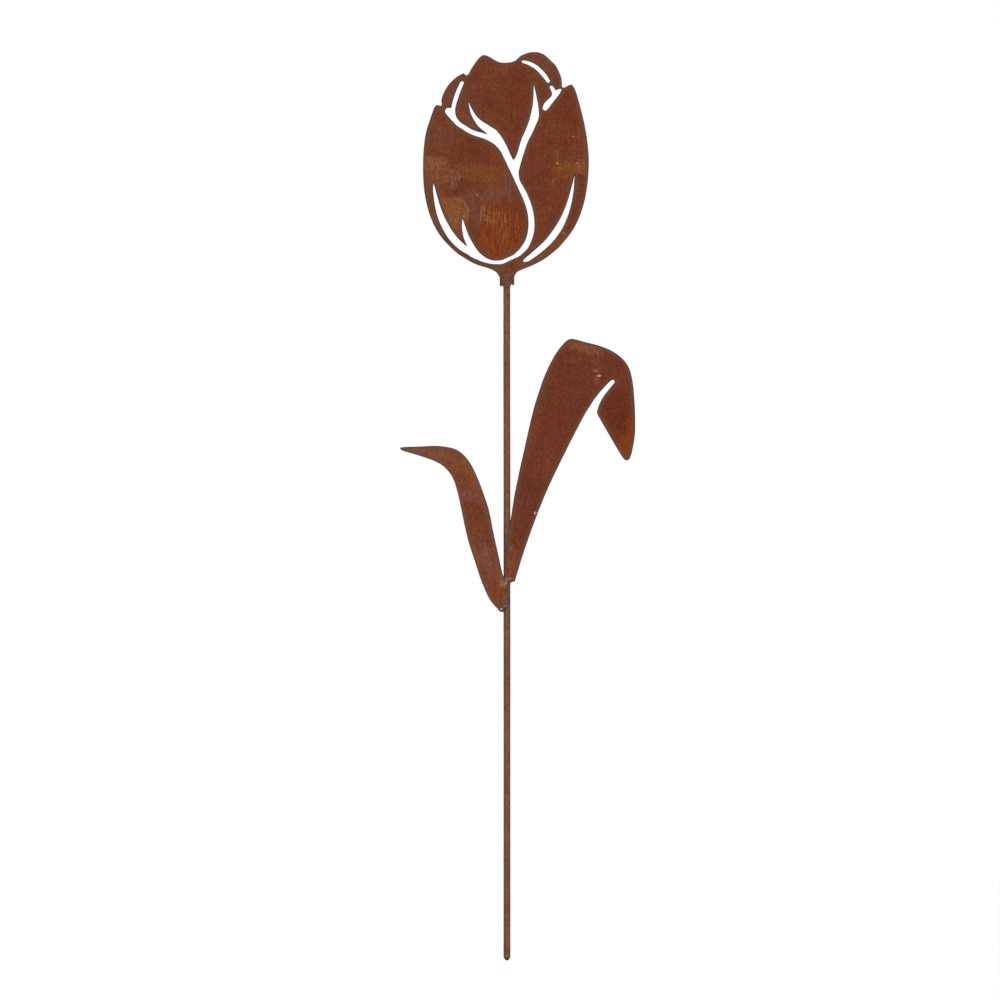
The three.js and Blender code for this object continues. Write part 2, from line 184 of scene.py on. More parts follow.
def fairLoop(loop, corners, spacing):
    # Each round moves a point to its neighbours' mean and then a little further back out, which
    # takes kinks away without shrinking the shape. Corners stay, and tight turns nearly so.
    free = np.ones(len(loop))
    if len(corners):
        apart = np.abs(np.arange(len(loop))[:, None] - corners)
        apart = np.minimum(apart, len(loop) - apart).min(1) * spacing
        free = np.clip(apart / fairing["cornerReach"], 0, 1)
    step = after(loop) - loop
    heading = np.arctan2(step[:, 1], step[:, 0])
    turn = (heading - before(heading) + np.pi) % (2 * np.pi) - np.pi
    reach = round(fairing["turnReach"] / spacing)
    turned = np.abs(sum(np.roll(turn, k) for k in range(-reach, reach + 1)))
    turned = np.maximum.reduce([np.roll(turned, k) for k in range(-3, 4)])
    low, high = fairing["turns"]
    free *= np.clip((high - turned) / (high - low), fairing["heldShare"], 1)
    for i in range(fairing["rounds"]):
        for share in fairing["shares"]:
            middle = (before(loop) + after(loop)) / 2
            loop = loop + (share * free)[:, None] * (middle - loop)
    return loop


def smoothLoop(loop, spacing, cornerAngle=52):
    # Centripetal Catmull-Rom curve through the loop's points: three rounds of straight blending
    # with knots a root of the chord apart. It breaks at corners, where the neighbour is the
    # point's own mirror image.
    loop = loop[lengthOf(loop - before(loop)) > 3 * sameLength]
    p1, p2 = loop, after(loop)
    step = p2 - p1
    cosine = (step * before(step)).sum(1) / lengthOf(step) / lengthOf(before(step))
    isCorner = cosine < math.cos(math.radians(cornerAngle))
    p0 = np.where(isCorner[:, None], p1 - step, before(loop))
    p3 = np.where(after(isCorner)[:, None], p2 + step, after(p2))
    pieces = np.maximum(1, np.ceil(lengthOf(step) / spacing)).astype(int)
    pick = np.repeat(np.arange(len(loop)), pieces)
    first = runningSum(pieces)[:-1]
    share = (np.arange(len(pick)) - first[pick]) / pieces[pick]
    knot = lambda one, other: np.sqrt(lengthOf(other - one)) + 1e-9
    knots = [np.zeros(len(loop)), knot(p0, p1), knot(p1, p2), knot(p2, p3)]
    t0, t1, t2, t3 = np.cumsum(knots, axis=0)[:, pick]
    p0, p1, p2, p3 = (p[pick] for p in (p0, p1, p2, p3))
    t = t1 + share * (t2 - t1)
    blend = lambda one, other, low, high: one + (other - one) * ((t - low) / (high - low))[:, None]
    a1, a2, a3 = blend(p0, p1, t0, t1), blend(p1, p2, t1, t2), blend(p2, p3, t2, t3)
    fine = blend(blend(a1, a2, t0, t2), blend(a2, a3, t1, t3), t1, t2)
    return fairLoop(fine, first[isCorner], spacing)


def addObject(name, data):
    made = bpy.data.objects.new(name, data)
    bpy.context.scene.collection.objects.link(made)
    return made


def newObject(name, points, faces, smooth=True, inBox=True):
    # points in millimetres, faces as one array of corners for each number of corners
    mesh = bpy.data.meshes.new(name)
    if inBox:
        points = np.clip(points, *(np.array(corner) * 1000 for corner in cadBounds))
    corners = [face for part in faces for face in part.tolist()]
    mesh.from_pydata((np.asarray(points) * 0.001).tolist(), [], corners)
    mesh.polygons.foreach_set("use_smooth", np.full(len(mesh.polygons), smooth))
    mesh.update()
    print(name, "built,", len(mesh.polygons), "faces")
    return addObject(name, mesh)


# The flower and the leaves are flame-cut plates.
plateCut = {
    "spacing": 0.6,             # along the cut edges
    "rings": [0.1, 0.35, 0.9],  # depths of the rows of points beside the cut edges
    "rounding": 0.35,
    "grid": 1.7,
    "gridRows": 0.866,          # from row to row, in steps along a row
    "wallRows": (0.33, 0.67),   # rows of points in the cut face, from front to back
    "roughCut": 0.05,           # how uneven the cut face is
    "roughSize": 2.5,
    "uneven": [(14, 0.03), (3, 0.012)],  # width and height of the sheet's swells
    "inset": 0.03,              # keeps the swells inside the CAD sheet
    "settle": 2,                # distance from the cut edge at which the swells are in full
    "onLoop": 0.5,              # a place below belongs to the loop that passes this close
}

# Where the torch wandered from the drawn line: x, z, how far outwards, and over what length
wander = {
    "tulipHead": [
        (-44.3, 729.4, 0.4, 13), (-17.5, 731.2, 0.46, 13), (-43.6, 736.7, 0.42, 4.5),
        (-16, 715.7, 0.39, 13), (17.9, 621.7, 0.32, 13), (-22.4, 617.6, 0.44, 9),
        (-52.7, 739.7, -0.39, 3.2), (-30.8, 745.2, 0.37, 3.2), (23.3, 653.4, 0.31, 9),
        (-26, 729.6, 0.34, 9), (6.9, 617.2, -0.33, 13), (5.8, 682.9, 0.28, 9),
        (12.2, 670.3, -0.22, 6.5), (25.8, 755.7, 0.31, 6.5), (-55.1, 630.2, 0.47, 13),
        (-67.4, 652.3, 0.31, 13), (14.9, 791.4, 0.24, 13), (45, 623.3, 0.29, 4.5),
        (37.7, 786.3, 0.23, 13), (-33, 775.1, 0.18, 13), (71.7, 695.5, -0.26, 13),
        (36.6, 753.4, 0.36, 4.5), (35.2, 743, 0.33, 2.2), (13.8, 783.8, 0.21, 3.2),
        (22.1, 612.7, 0.39, 13), (58.9, 681.9, 0.28, 3.2), (20.4, 617.7, 0.22, 4.5),
        (16.6, 610.4, -0.23, 3.2),
    ],
    "broadLeaf": [
        (32.3, 508.3, 0.48, 13), (91.6, 501.7, 0.45, 4.5), (108.3, 440.7, -0.32, 3.2),
        (6.7, 405.8, 0.36, 13), (82.7, 498.2, -0.18, 4.5), (106.9, 517.6, -0.25, 9),
        (111.3, 455, -0.21, 4.5),
    ],
    "slenderLeaf": [
        (-17.2, 397.7, 0.35, 9), (-40.9, 444.8, -0.18, 13), (-48, 423.5, 0.21, 13),
    ],
}

# Where the cut ran on past the drawn corner or stopped short: x, z, right, up, over what length
tips = {
    "tulipHead": [
        (-18.5, 722.2, 1.5, -0.3, 4), (-35.4, 625.2, 0.4, -0.8, 3), (5.7, 698.8, 0, 0.6, 1),
        (-64.2, 680.7, 0.15, -1.4, 4), (-38.9, 648.9, 0, -0.7, 3), (23.3, 764.7, 0.1, 0.6, 3),
    ],
}


def wanderingLoop(loop, places, corners):
    # Beside each place the loop moves outwards, by a Gaussian of the distance along the edge. A
    # corner moves by what its row gives, and takes the edge beside it along.
    lengths = lengthOf(after(loop) - loop)
    along = np.cumsum(lengths) - lengths

    def shareBeside(x, z, reach):
        away = lengthOf(loop - [x, z])
        apart = np.abs(along - along[away.argmin()])
        share = np.exp(-(np.minimum(apart, lengths.sum() - apart) / reach) ** 2)
        return share[:, None] * (away.min() < plateCut["onLoop"])

    shift = sum(push * shareBeside(x, z, reach) for x, z, push, reach in places)
    moved = loop - inwardOf(loop) * shift
    for x, z, right, up, reach in corners:
        moved = moved + shareBeside(x, z, reach) * [right, up]
    return moved


def fillPlate(loops, extra):
    # Points on the loops, in rows beside them and on a grid of equal triangles, joined to
    # triangles that keep every stretch of the loops
    edgePoints = np.vstack(loops)
    runs = np.split(np.arange(len(edgePoints)), np.cumsum([len(loop) for loop in loops])[:-1])
    edges = [pair for run in runs for pair in zip(run.tolist(), after(run).tolist())]

    def within(points, depth):
        points = points[isInside(points, loops)]
        return points[distanceTo(points, loops) > depth]

    inward = np.vstack([inwardOf(loop) for loop in loops])
    rows = [within((edgePoints + inward * depth)[:: 1 + i // 2], 0.93 * depth)
            for i, depth in enumerate(plateCut["rings"])]
    low, high = edgePoints.min(0), edgePoints.max(0)
    grid, lastRing = plateCut["grid"], plateCut["rings"][-1]
    gx, gz = np.meshgrid(np.arange(low[0], high[0], grid),
                         np.arange(low[1], high[1], grid * plateCut["gridRows"]))
    gx[1::2] += grid / 2
    middle = within(np.c_[gx.ravel(), gz.ravel()], lastRing + 0.45 * grid)
    points = np.vstack([edgePoints, *rows, within(extra, lastRing + 0.1), middle])
    found = delaunay_2d_cdt([Vector(p) for p in points.tolist()], edges, [], 0, 1e-5)
    flat = np.array([tuple(v) for v in found[0]])
    tris = np.array([t for t in found[2] if len(t) == 3])
    tris = turnedLeft(flat, tris[isInside(flat[tris].mean(1), loops)])[0]
    place = {source: i for i, sources in enumerate(found[3]) for source in sources}
    chains = [np.array([place[i] for i in run.tolist()]) for run in runs]
    # A sliver outside along a straight edge has a side that is no stretch of a loop.
    numbered = lambda one, other: np.minimum(one, other) * len(flat) + np.maximum(one, other)
    stretches = np.concatenate([numbered(chain, after(chain)) for chain in chains])
    sides = np.stack([numbered(tris[:, i], tris[:, (i + 1) % 3]) for i in range(3)], 1)
    which, uses = np.unique(sides, return_inverse=True, return_counts=True)[1:]
    alone = (uses[which].reshape(-1, 3) == 1) & ~np.isin(sides, stretches)
    return flat, tris[~alone.any(1)], chains


def buildPlate(name, loops, extra=np.empty((0, 2)), fold=None, seed=1):
    # Front and back are the same triangles, rounded at the cut edge, and rows of squares close
    # the cut between them.
    loops = [smoothLoop(loop, plateCut["spacing"]) for loop in loops]
    loops = [wanderingLoop(loop, wander[name], tips.get(name, [])) for loop in loops]
    flat, tris, chains = fillPlate(loops, extra)
    rim = distanceTo(flat, loops)
    radius = plateCut["rounding"]
    short = np.clip(radius - rim, 0, radius)
    drop = radius - np.sqrt(np.maximum(radius ** 2 - short ** 2, 0))
    uneven = sum(height * waves(flat, size, seed + i)
                 for i, (size, height) in enumerate(plateCut["uneven"]))
    settle = np.clip(rim / plateCut["settle"], 0, 1)
    inset = plateCut["inset"] * settle
    frontY = sheetFront + drop + uneven * settle + inset
    backY = sheetBack - drop + uneven * settle - inset
    count = len(flat)
    points = [np.c_[flat[:, 0], y, flat[:, 1]] for y in (frontY, backY)]
    fields = [np.c_[rim, (rim < sameLength) * 0.5, np.zeros(count)]] * 2
    quads = []
    base = 2 * count
    for chain in chains:
        size = len(chain)
        edge = flat[chain]
        inward = inwardOf(edge)
        along = runningSum(lengthOf(np.diff(edge, axis=0)))
        rows = [chain]
        for k, share in enumerate(plateCut["wallRows"]):
            y = sheetFront + radius + share * (sheetBack - sheetFront - 2 * radius)
            field = waves(np.c_[edge, np.full(size, 5.0 * k)], plateCut["roughSize"], seed + 5)
            rough = plateCut["roughCut"] * np.clip(field, 0, 1)
            moved = edge + inward * rough[:, None]
            points.append(np.c_[moved[:, 0], np.full(size, y), moved[:, 1]])
            fields.append(np.c_[np.zeros(size), np.ones(size), along])
            rows.append(base + np.arange(size))
            base += size
        rows.append(chain + count)
        for upper, lower in zip(rows[:-1], rows[1:]):
            quads.append(np.stack([after(upper), upper, lower, after(lower)], 1))
    points = np.vstack(points)
    if fold:
        points = fold(points)
    piece = newObject(name, points, [tris, tris[:, ::-1] + count, np.vstack(quads)])
    for key, values in zip(("rim", "cutFace", "alongCut"), np.vstack(fields).T):
        attribute = piece.data.attributes.new(key, "FLOAT", "POINT")
        attribute.data.foreach_set("value", values.astype(np.float32))
    return piece


sheetFront, sheetBack = (corner[1] * 1000 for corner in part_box("broad_leaf"))

# The neck is cut with a tab on each side, which is then folded back round the bar.
neckFold = {
    "insideRadius": 0.8,
    "halfSheet": 1.0,
    "earReach": 5.6,
    "slit": 0.04,             # relief cut above each ear
    "leftEarDrop": 1.0,
    "widens": 1,              # the outline leaves the neck where it's this far past the bend
    "footHeight": 30,         # and crosses the middle within this height above it
    "fineStep": (0.35, 0.9),  # between extra points in the ears, across and up
}


def withEars(outline):
    # Swaps the outline's straight neck for the tabs as they are before folding.
    foot = outline[:, 1].min()
    bend = outline[outline[:, 1] < foot + sameLength, 0].max()
    neckTop = outline[np.abs(outline[:, 0]) > bend + neckFold["widens"], 1].min()
    arc = (neckFold["insideRadius"] + neckFold["halfSheet"]) * math.pi / 2
    tip = bend + (arc + neckFold["earReach"] - neckFold["insideRadius"])
    under = foot - neckFold["leftEarDrop"]
    top = neckTop - neckFold["slit"]
    side = np.abs(outline[np.abs(outline[:, 1] - neckTop) < sameLength, 0]).max()
    tabs = [(-side, neckTop), (-bend, neckTop), (-bend, top), (-tip, top), (-tip, under),
            (-bend, under), (-bend, foot), (tip, foot), (tip, top), (bend, top),
            (bend, neckTop), (side, neckTop)]
    kept = np.roll(outline, -int(outline[:, 1].argmax()), axis=0)
    kept = kept[kept[:, 1] > neckTop + sameLength]
    crosses = (kept[:-1, 0] < 0) & (kept[1:, 0] > 0)
    crosses &= kept[:-1, 1] < neckTop + neckFold["footHeight"]
    split = int(crosses.argmax()) + 1
    return np.vstack([kept[:split], tabs, kept[split:]]), bend, neckTop


def foldEars(bend, neckTop):
    # Beyond the bend line a point goes round a quarter circle and then straight back.
    def fold(points):
        x, y, z = points.T
        beyond = np.where(z < neckTop - sameLength, np.clip(np.abs(x) - bend, 0, None), 0)
        inner = neckFold["insideRadius"]
        arc = (inner + (sheetBack - sheetFront) / 2) * math.pi / 2
        angle = np.clip(beyond / arc, 0, 1) * math.pi / 2
        radius = inner + sheetBack - y
        straight = np.clip(beyond - arc, 0, None)
        moved = beyond > 0
        newX = np.where(moved, np.sign(x) * (bend + radius * np.sin(angle)), x)
        newY = np.where(moved, sheetBack + inner - radius * np.cos(angle) + straight, y)
        return np.c_[newX, newY, z]
    return fold


headLoops = frontLoops(nodes["tulip_head"])
outer = int(np.argmax([np.ptp(loop[:, 1]) for loop in headLoops]))
headLoops[outer], bendLine, neckTop = withEars(headLoops[outer])
foot = headLoops[outer][:, 1].min()
earX, earZ = np.meshgrid(np.arange(bendLine - 0.4, bendLine + 3.4, neckFold["fineStep"][0]),
                         np.arange(foot + 1, neckTop - 0.7, neckFold["fineStep"][1]))
earGrid = np.vstack([np.c_[side * earX.ravel(), earZ.ravel()] for side in (-1, 1)])
tulipHead = buildPlate("tulipHead", headLoops, earGrid, foldEars(bendLine, neckTop), 11)
broadLeaf = buildPlate("broadLeaf", frontLoops(nodes["broad_leaf"]), seed=21)
slenderLeaf = buildPlate("slenderLeaf", frontLoops(nodes["slender_leaf"]), seed=31)


def tubeFaces(rows, columns):
    # Squares between rings of points, and triangles to two end points that come after them
    index = np.arange(rows * columns).reshape(rows, columns)
    around = np.roll(index, -1, axis=1)
    quads = np.stack([index[:-1], around[:-1], around[1:], index[1:]], 2).reshape(-1, 4)
    end = np.full(columns, rows * columns)
    caps = np.vstack([np.c_[end, around[0], index[0]], np.c_[end + 1, index[-1], around[-1]]])
    return quads, caps


stemBar = {
    "radius": 3.0,
    "sides": 56,
    "step": 1.6,
    "point": [(0.6, 0.02), (1.05, 0.06), (1.3, 0.3), (2.72, 2.25), (2.94, 2.7)],  # radius, height
    "straightFrom": 3.6,
    "topRounding": [(0, 0.75), (0.15, 0.4), (0.45, 0.1), (1.2, 0)],  # inwards, below the top
    "pits": 0.03,
    "pitSizes": [(7, 0.6), (2.2, 0.4)],  # width, share
    "lean": -0.15,        # how far its top is bent sideways
    "bendsFrom": 420, "bendsOver": 100,
}


def buildBar():
    # Rings round the z axis, a little uneven, that close in a point at both ends
    radius, top = stemBar["radius"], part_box("stem_rod")[1][2] * 1000
    long = np.arange(stemBar["straightFrom"], top - 1, stemBar["step"])
    profile = stemBar["point"] + [(radius, z) for z in long]
    profile += [(radius - inwards, top - below) for inwards, below in stemBar["topRounding"]]
    r, z = np.array(profile).T
    sides = stemBar["sides"]
    x, y = (np.outer(r, ring) for ring in circle(sides))
    points = np.c_[x.ravel(), y.ravel(), np.repeat(z, sides)]
    pit = stemBar["pits"] * sum(share * waves(points, size, 41 + i)
                                for i, (size, share) in enumerate(stemBar["pitSizes"]))
    points[:, :2] *= (1 + pit / radius)[:, None]
    bent = np.clip((points[:, 2] - stemBar["bendsFrom"]) / stemBar["bendsOver"], 0, 1)
    points[:, 0] += stemBar["lean"] * bent ** 2 * (3 - 2 * bent)
    points = np.vstack([points, [[0, 0, 0], [stemBar["lean"], 0, top]]])
    return newObject("stemBar", points, tubeFaces(len(r), sides))


stemRod = buildBar()


weldMetal = {
    "sides": 36,
    "stepShare": 0.14,    # distance between rings, in radii
    "drop": 0.9,          # length of one drop of metal, in radii
    "endSink": 0.2,       # from the end rings out to the end points, in radii
    "lumps": [(1.8, 0.11), (0.8, 0.06), (0.35, 0.014)],  # size in radii, share of the radius
}


def beadRun(path, radii, flatness, ripple, seed):
    # Lumpy ellipse carried along a path, swelling once for every drop of weld metal. Both ends
    # shrink along a quarter circle to a point.
    path, radii = np.asarray(path, float), np.asarray(radii, float)
    mean = radii.mean()
    span = runningSum(lengthOf(np.diff(path, axis=0)))
    steps = int(span[-1] / (mean * weldMetal["stepShare"])) + 2
    s = np.linspace(0, span[-1], steps)
    curve = np.stack([np.interp(s, span, path[:, i]) for i in range(3)], 1)
    for i in range(steps // 3):
        curve[1:-1] += 0.5 * ((curve[:-2] + curve[2:]) / 2 - curve[1:-1])
    swell = 1 + ripple * np.sin(s * 2 * np.pi / (mean * weldMetal["drop"]))
    radius = np.interp(s, span, radii) * swell
    turn = np.linspace(0, np.pi / 2, 6)[1:-1]
    way = unit(np.gradient(curve, axis=0))
    startCap = curve[0] - way[0] * (radius[0] * np.cos(turn))[:, None]
    endCap = curve[-1] + way[-1] * (radius[-1] * np.cos(turn[::-1]))[:, None]
    curve = np.vstack([startCap, curve, endCap])
    radius = np.concatenate([radius[0] * np.sin(turn), radius, radius[-1] * np.sin(turn[::-1])])
    way = np.vstack([np.repeat(way[:1], len(turn), 0), way, np.repeat(way[-1:], len(turn), 0)])
    side = unit(np.cross(way, [0, 1, 0]))
    sides = weldMetal["sides"]
    across, deep = circle(sides)
    offset = across[:, None] * side[:, None] + flatness * deep[:, None] * np.array([0, 1, 0])
    middle = np.repeat(curve, sides, 0)
    points = (curve[:, None] + radius[:, None, None] * offset).reshape(-1, 3)
    lump = 1 + sum(share * waves(points, size * mean, seed + i)
                   for i, (size, share) in enumerate(weldMetal["lumps"]))
    points = middle + (points - middle) * lump[:, None]
    sink = weldMetal["endSink"]
    points = np.vstack([points, curve[0] - way[0] * radius[0] * sink,
                        curve[-1] + way[-1] * radius[-1] * sink])
    quads, caps = tubeFaces(len(curve), sides)
    return points, quads[:, [0, 3, 2, 1]], caps[:, [0, 2, 1]]


def buildBead(name, bead, seed):
    # The runs of one bead overlap like weld metal laid in several drops.
    points, quads, caps, base = [], [], [], 0
    for i, (path, radii) in enumerate(bead["runs"]):
        p, q, c = beadRun(path, radii, bead["flatness"], bead["ripple"], seed + 10 * i)
        points.append(p)
        quads.append(q + base)
        caps.append(c + base)
        base += len(p)
    return newObject(name, np.vstack(points), [np.vstack(quads), np.vstack(caps)])


# Beads in the corner between the sheet's back and the bar's side
backBead = {
    "radius": 1.7,
    "shares": (0.85, 1, 0.9, 1, 0.8),  # of the radius, from the lower to the upper end
    "fromBar": 0.75,
    "fromSheet": 1.2,
    "ends": {             # side of the bar, lower and upper end
        "neckWeldLeft": (-1, 597.2, 605.2),
        "neckWeldRight": (1, 597.2, 605.2),
        "leafBackWeld": (1, 352.6, 367.4),
    },
}


def buildBackBead(name, seed):
    sideOfBar, low, high = backBead["ends"][name]
    radius = backBead["radius"]
    x, y = sideOfBar * (stemBar["radius"] + backBead["fromBar"]), sheetBack + backBead["fromSheet"]
    path = [(x, y, z) for z in np.linspace(low + radius, high - radius, len(backBead["shares"]))]
    run = (path, [radius * share for share in backBead["shares"]])
    return buildBead(name, {"flatness": 1, "ripple": 0.06, "runs": [run]}, seed)


neckWeldLeft = buildBackBead("neckWeldLeft", 51)
neckWeldRight = buildBackBead("neckWeldRight", 52)
leafBackWeld = buildBackBead("leafBackWeld", 53)

frontBead = {
    "flatness": 0.8, "ripple": 0.05,
    "runs": [
        ([(-2.9, -3.9, 589.8), (-1.2, -4.4, 589.9), (0.8, -4.5, 590.0), (2.6, -3.9, 590.4)],
         [1.2, 1.5, 1.6, 1.2]),
        ([(-1.6, -5.0, 591.0), (0.6, -5.1, 591.3), (2.6, -4.9, 591.6)], [0.6, 0.9, 0.7]),
    ],
}
neckWeldFront = buildBead("neckWeldFront", frontBead, 54)

jointBead = {
    "flatness": 0.56, "ripple": 0.06,
    "runs": [
        ([(5.4, -5.0, 333.2), (3.4, -5.3, 333.6), (1.2, -5.4, 333.9), (-0.9, -5.3, 333.6)],
         [1.1, 1.4, 1.5, 1.1]),
        ([(2.4, -5.3, 332.4), (0.6, -5.6, 331.4), (-1.6, -5.6, 329.9), (-3.6, -5.4, 328.4),
          (-5.4, -5.2, 327.0)], [1.4, 1.9, 2.0, 1.9, 1.5]),
        ([(-2.4, -5.1, 332.0), (-4.6, -5.1, 330.4), (-5.6, -5.1, 329.2)], [1.3, 1.6, 1.2]),
        ([(5.6, -4.4, 332.1), (4.4, -4.4, 331.9), (3.2, -4.4, 331.6)], [0.6, 1.0, 1.2]),
    ],
}
leafJointWeld = buildBead("leafJointWeld", jointBead, 55)

seamBead = {
    "flatness": 0.9, "ripple": 0.08,
    "runs": [
        ([(-1.5, -4.6, 327.6), (-0.9, -4.7, 325.4), (-1.4, -4.6, 323.2), (-0.9, -4.7, 320.8),
          (-1.2, -4.7, 318.2), (-1.2, -4.6, 315.8), (-0.8, -4.6, 313.4), (-0.9, -4.6, 311.2),
          (-0.6, -4.5, 309.2)], [1.3, 1.5, 1.3, 1.6, 1.3, 1.5, 1.4, 1.6, 1.3]),
    ],
}
leafSeamWeld = buildBead("leafSeamWeld", seamBead, 56)

# Arched, with a gap between it and the leaf's foot
footBead = {
    "flatness": 0.9, "ripple": 0.04,
    "runs": [
        ([(-2.6, -3.8, 306.7), (-3.6, -4.0, 305.95), (-4.8, -4.2, 305.85), (-6.0, -4.2, 306.4),
          (-7.2, -4.2, 307.3)], [1.35, 1.15, 1.1, 1.0, 0.8]),
    ],
}
leafFootWeld = buildBead("leafFootWeld", footBead, 57)


def colour(r, g, b):
    # From picture values to the linear values that a shader takes
    c = np.array([r, g, b]) / 255
    return (*np.where(c <= 0.04045, c / 12.92, ((c + 0.055) / 1.055) ** 2.4).tolist(), 1.0)


building = {}  # the node tree that the functions below add to


def link(value, socket):
    building["tree"].links.new(value, socket)


def addNode(kind, inputs=(), **settings):
    node = building["tree"].nodes.new("ShaderNode" + kind)
    for key, value in settings.items():
        setattr(node, key, value)
    for key, value in dict(inputs).items():
        if isinstance(value, bpy.types.NodeSocket):
            link(value, node.inputs[key])
        else:
            node.inputs[key].default_value = value
    return node


def startShading(owner):
    owner.use_nodes = True
    building["tree"] = owner.node_tree
    return owner.node_tree.nodes


def calc(operation, a, b=0.0, c=0.0):
    return addNode("Math", {0: a, 1: b, 2: c}, operation=operation).outputs[0]


def times(a, b, plus=None):
    return calc("MULTIPLY", a, b) if plus is None else calc("MULTIPLY_ADD", a, b, plus)


def fade(value, low, high, toLow=0.0, toHigh=1.0):
    inputs = {0: value, 1: low, 2: high, 3: toLow, 4: toHigh}
    return addNode("MapRange", inputs, interpolation_type="SMOOTHSTEP").outputs[0]


def layOver(amount, under, over, kind="MIX"):
    inputs = {0: amount, 6: under, 7: over}
    return addNode("Mix", inputs, data_type="RGBA", blend_type=kind).outputs[2]


def noise(place, size, detail=4.0, roughness=0.55, distortion=0.0, stretch=(1, 1, 1)):
    # size is the width of the spots in millimetres
    stretched = {"Vector": place, "Scale": tuple(1000 * s for s in stretch)}
    point = addNode("Mapping", stretched).outputs[0]
    inputs = {"Vector": point, "Scale": 1 / size, "Detail": detail, "Roughness": roughness,
              "Distortion": distortion}
    return addNode("TexNoise", inputs).outputs["Fac"]


def reading(attribute):
    return addNode("Attribute", attribute_name=attribute).outputs["Fac"]


# Columns of the rows below, with the middle, half widths and turn of an ellipse, and three numbers
# for the colour. A row may stop early, where the rest is as usual, or end with extras.
patchColumns = ("x", "z", "across", "up", "turn", "colour", "amount", "soft", "torn")
usualPatch = {"amount": 0.7, "soft": 0.5, "torn": 0.6}
usualMark = {"amount": 0.6, "soft": 0.4, "torn": 0.35}

patchEdge = {
    "ballReach": 4,       # how far the gradient reaches, in half widths
    "underBlur": 0.7,
    "lineAt": 0.93,       # where a patch's outer line lies, in half widths
    "lineWidth": 0.11, "lineAmount": 0.7, "lineBlur": 2,
}


def patchOf(row, usual):
    *values, extras = row if isinstance(row[-1], dict) else (*row, {})
    values[5:8] = [values[5:8]]
    return {**usual, **dict(zip(patchColumns, values)), **extras}


def patchMask(place, ragged, patch):
    # 1 within an ellipse and 0 outside it, with a soft border that the noise tears. The ball's
    # gradient falls from 1 at the middle to 0 at the reach, past which nothing changes.
    reach = patchEdge["ballReach"]
    ball = addNode("Mapping", {
        "Vector": place,
        "Location": tuple(patch[key] / 1000 for key in ("x", "depth", "z")),
        "Rotation": (0, math.radians(patch["turn"]), 0),
        "Scale": tuple(patch[key] * reach / 1000 for key in ("across", "deep", "up")),
    }, vector_type="TEXTURE").outputs[0]
    ball = addNode("TexGradient", {"Vector": ball}, gradient_type="SPHERICAL")
    away = times(ball.outputs["Fac"], -reach, reach)
    torn = times(ragged, patch["torn"], away)
    mask = fade(torn, 1 - patch["soft"], 1 + patch["soft"], patch["amount"], 0.0)
    axis = lambda key: addNode("SeparateXYZ", {0: place}).outputs[key]
    if "under" in patch:
        wavy = times(ragged, 2.0, times(axis("Z"), 1000))
        under, blur = patch["under"], patchEdge["underBlur"]
        mask = times(mask, fade(wavy, under - blur, under + blur, 1, 0))
    line = None
    if "line" in patch:
        away = calc("ABSOLUTE", calc("SUBTRACT", torn, patchEdge["lineAt"]))
        line = fade(away, 0.0, patchEdge["lineWidth"], patchEdge["lineAmount"], 0.0)
        if "lineFrom" in patch:
            right = times(axis("X"), 1000)
            start, blur = patch["lineFrom"], patchEdge["lineBlur"]
            line = times(line, fade(right, start - blur, start + blur))
    return mask, line


# The rust's noises: size, detail, roughness, distortion, and stretch along x, y and z
rustNoises = {
    "clouds": (38, 5, 0.6, 0.4, (1, 8, 1)),
    "mottle": (9, 6, 0.62, 0.8, (1, 4, 1)),
    "spots": (5, 4, 0.6, 0.5, (1, 3, 0.8)),
    "runs": (2.4, 4, 0.65, 0.1, (1, 1, 0.08)),
    "grain": (1.7, 4, 0.68, 0.0, (1, 1, 0.6)),
    "broken": (4.5, 6, 0.65, 1.2),
    "fine": (0.8, 3, 0.6),
    "fleck": (3.2, 3, 0.6, 0.6, (1, 1, 0.6)),
    "ragged": (8, 8, 0.68, 0.7),
}

# What a look takes where it gives nothing itself
usualLook = {
    "sizes": {}, "depth": sheetFront, "deep": 1.2, "behind": [],
    "warmAmount": 0.4, "coolAmount": 0.35, "redAmount": 0.5, "oliveAmount": 0.45,
    "blushAmount": 0.3, "heatAmount": 0.7, "rimAmount": 0.6,
    "bump": 0.5, "bumpDistance": 0.0003, "roughness": (0.95, 0.75), "shine": 0.06,
}


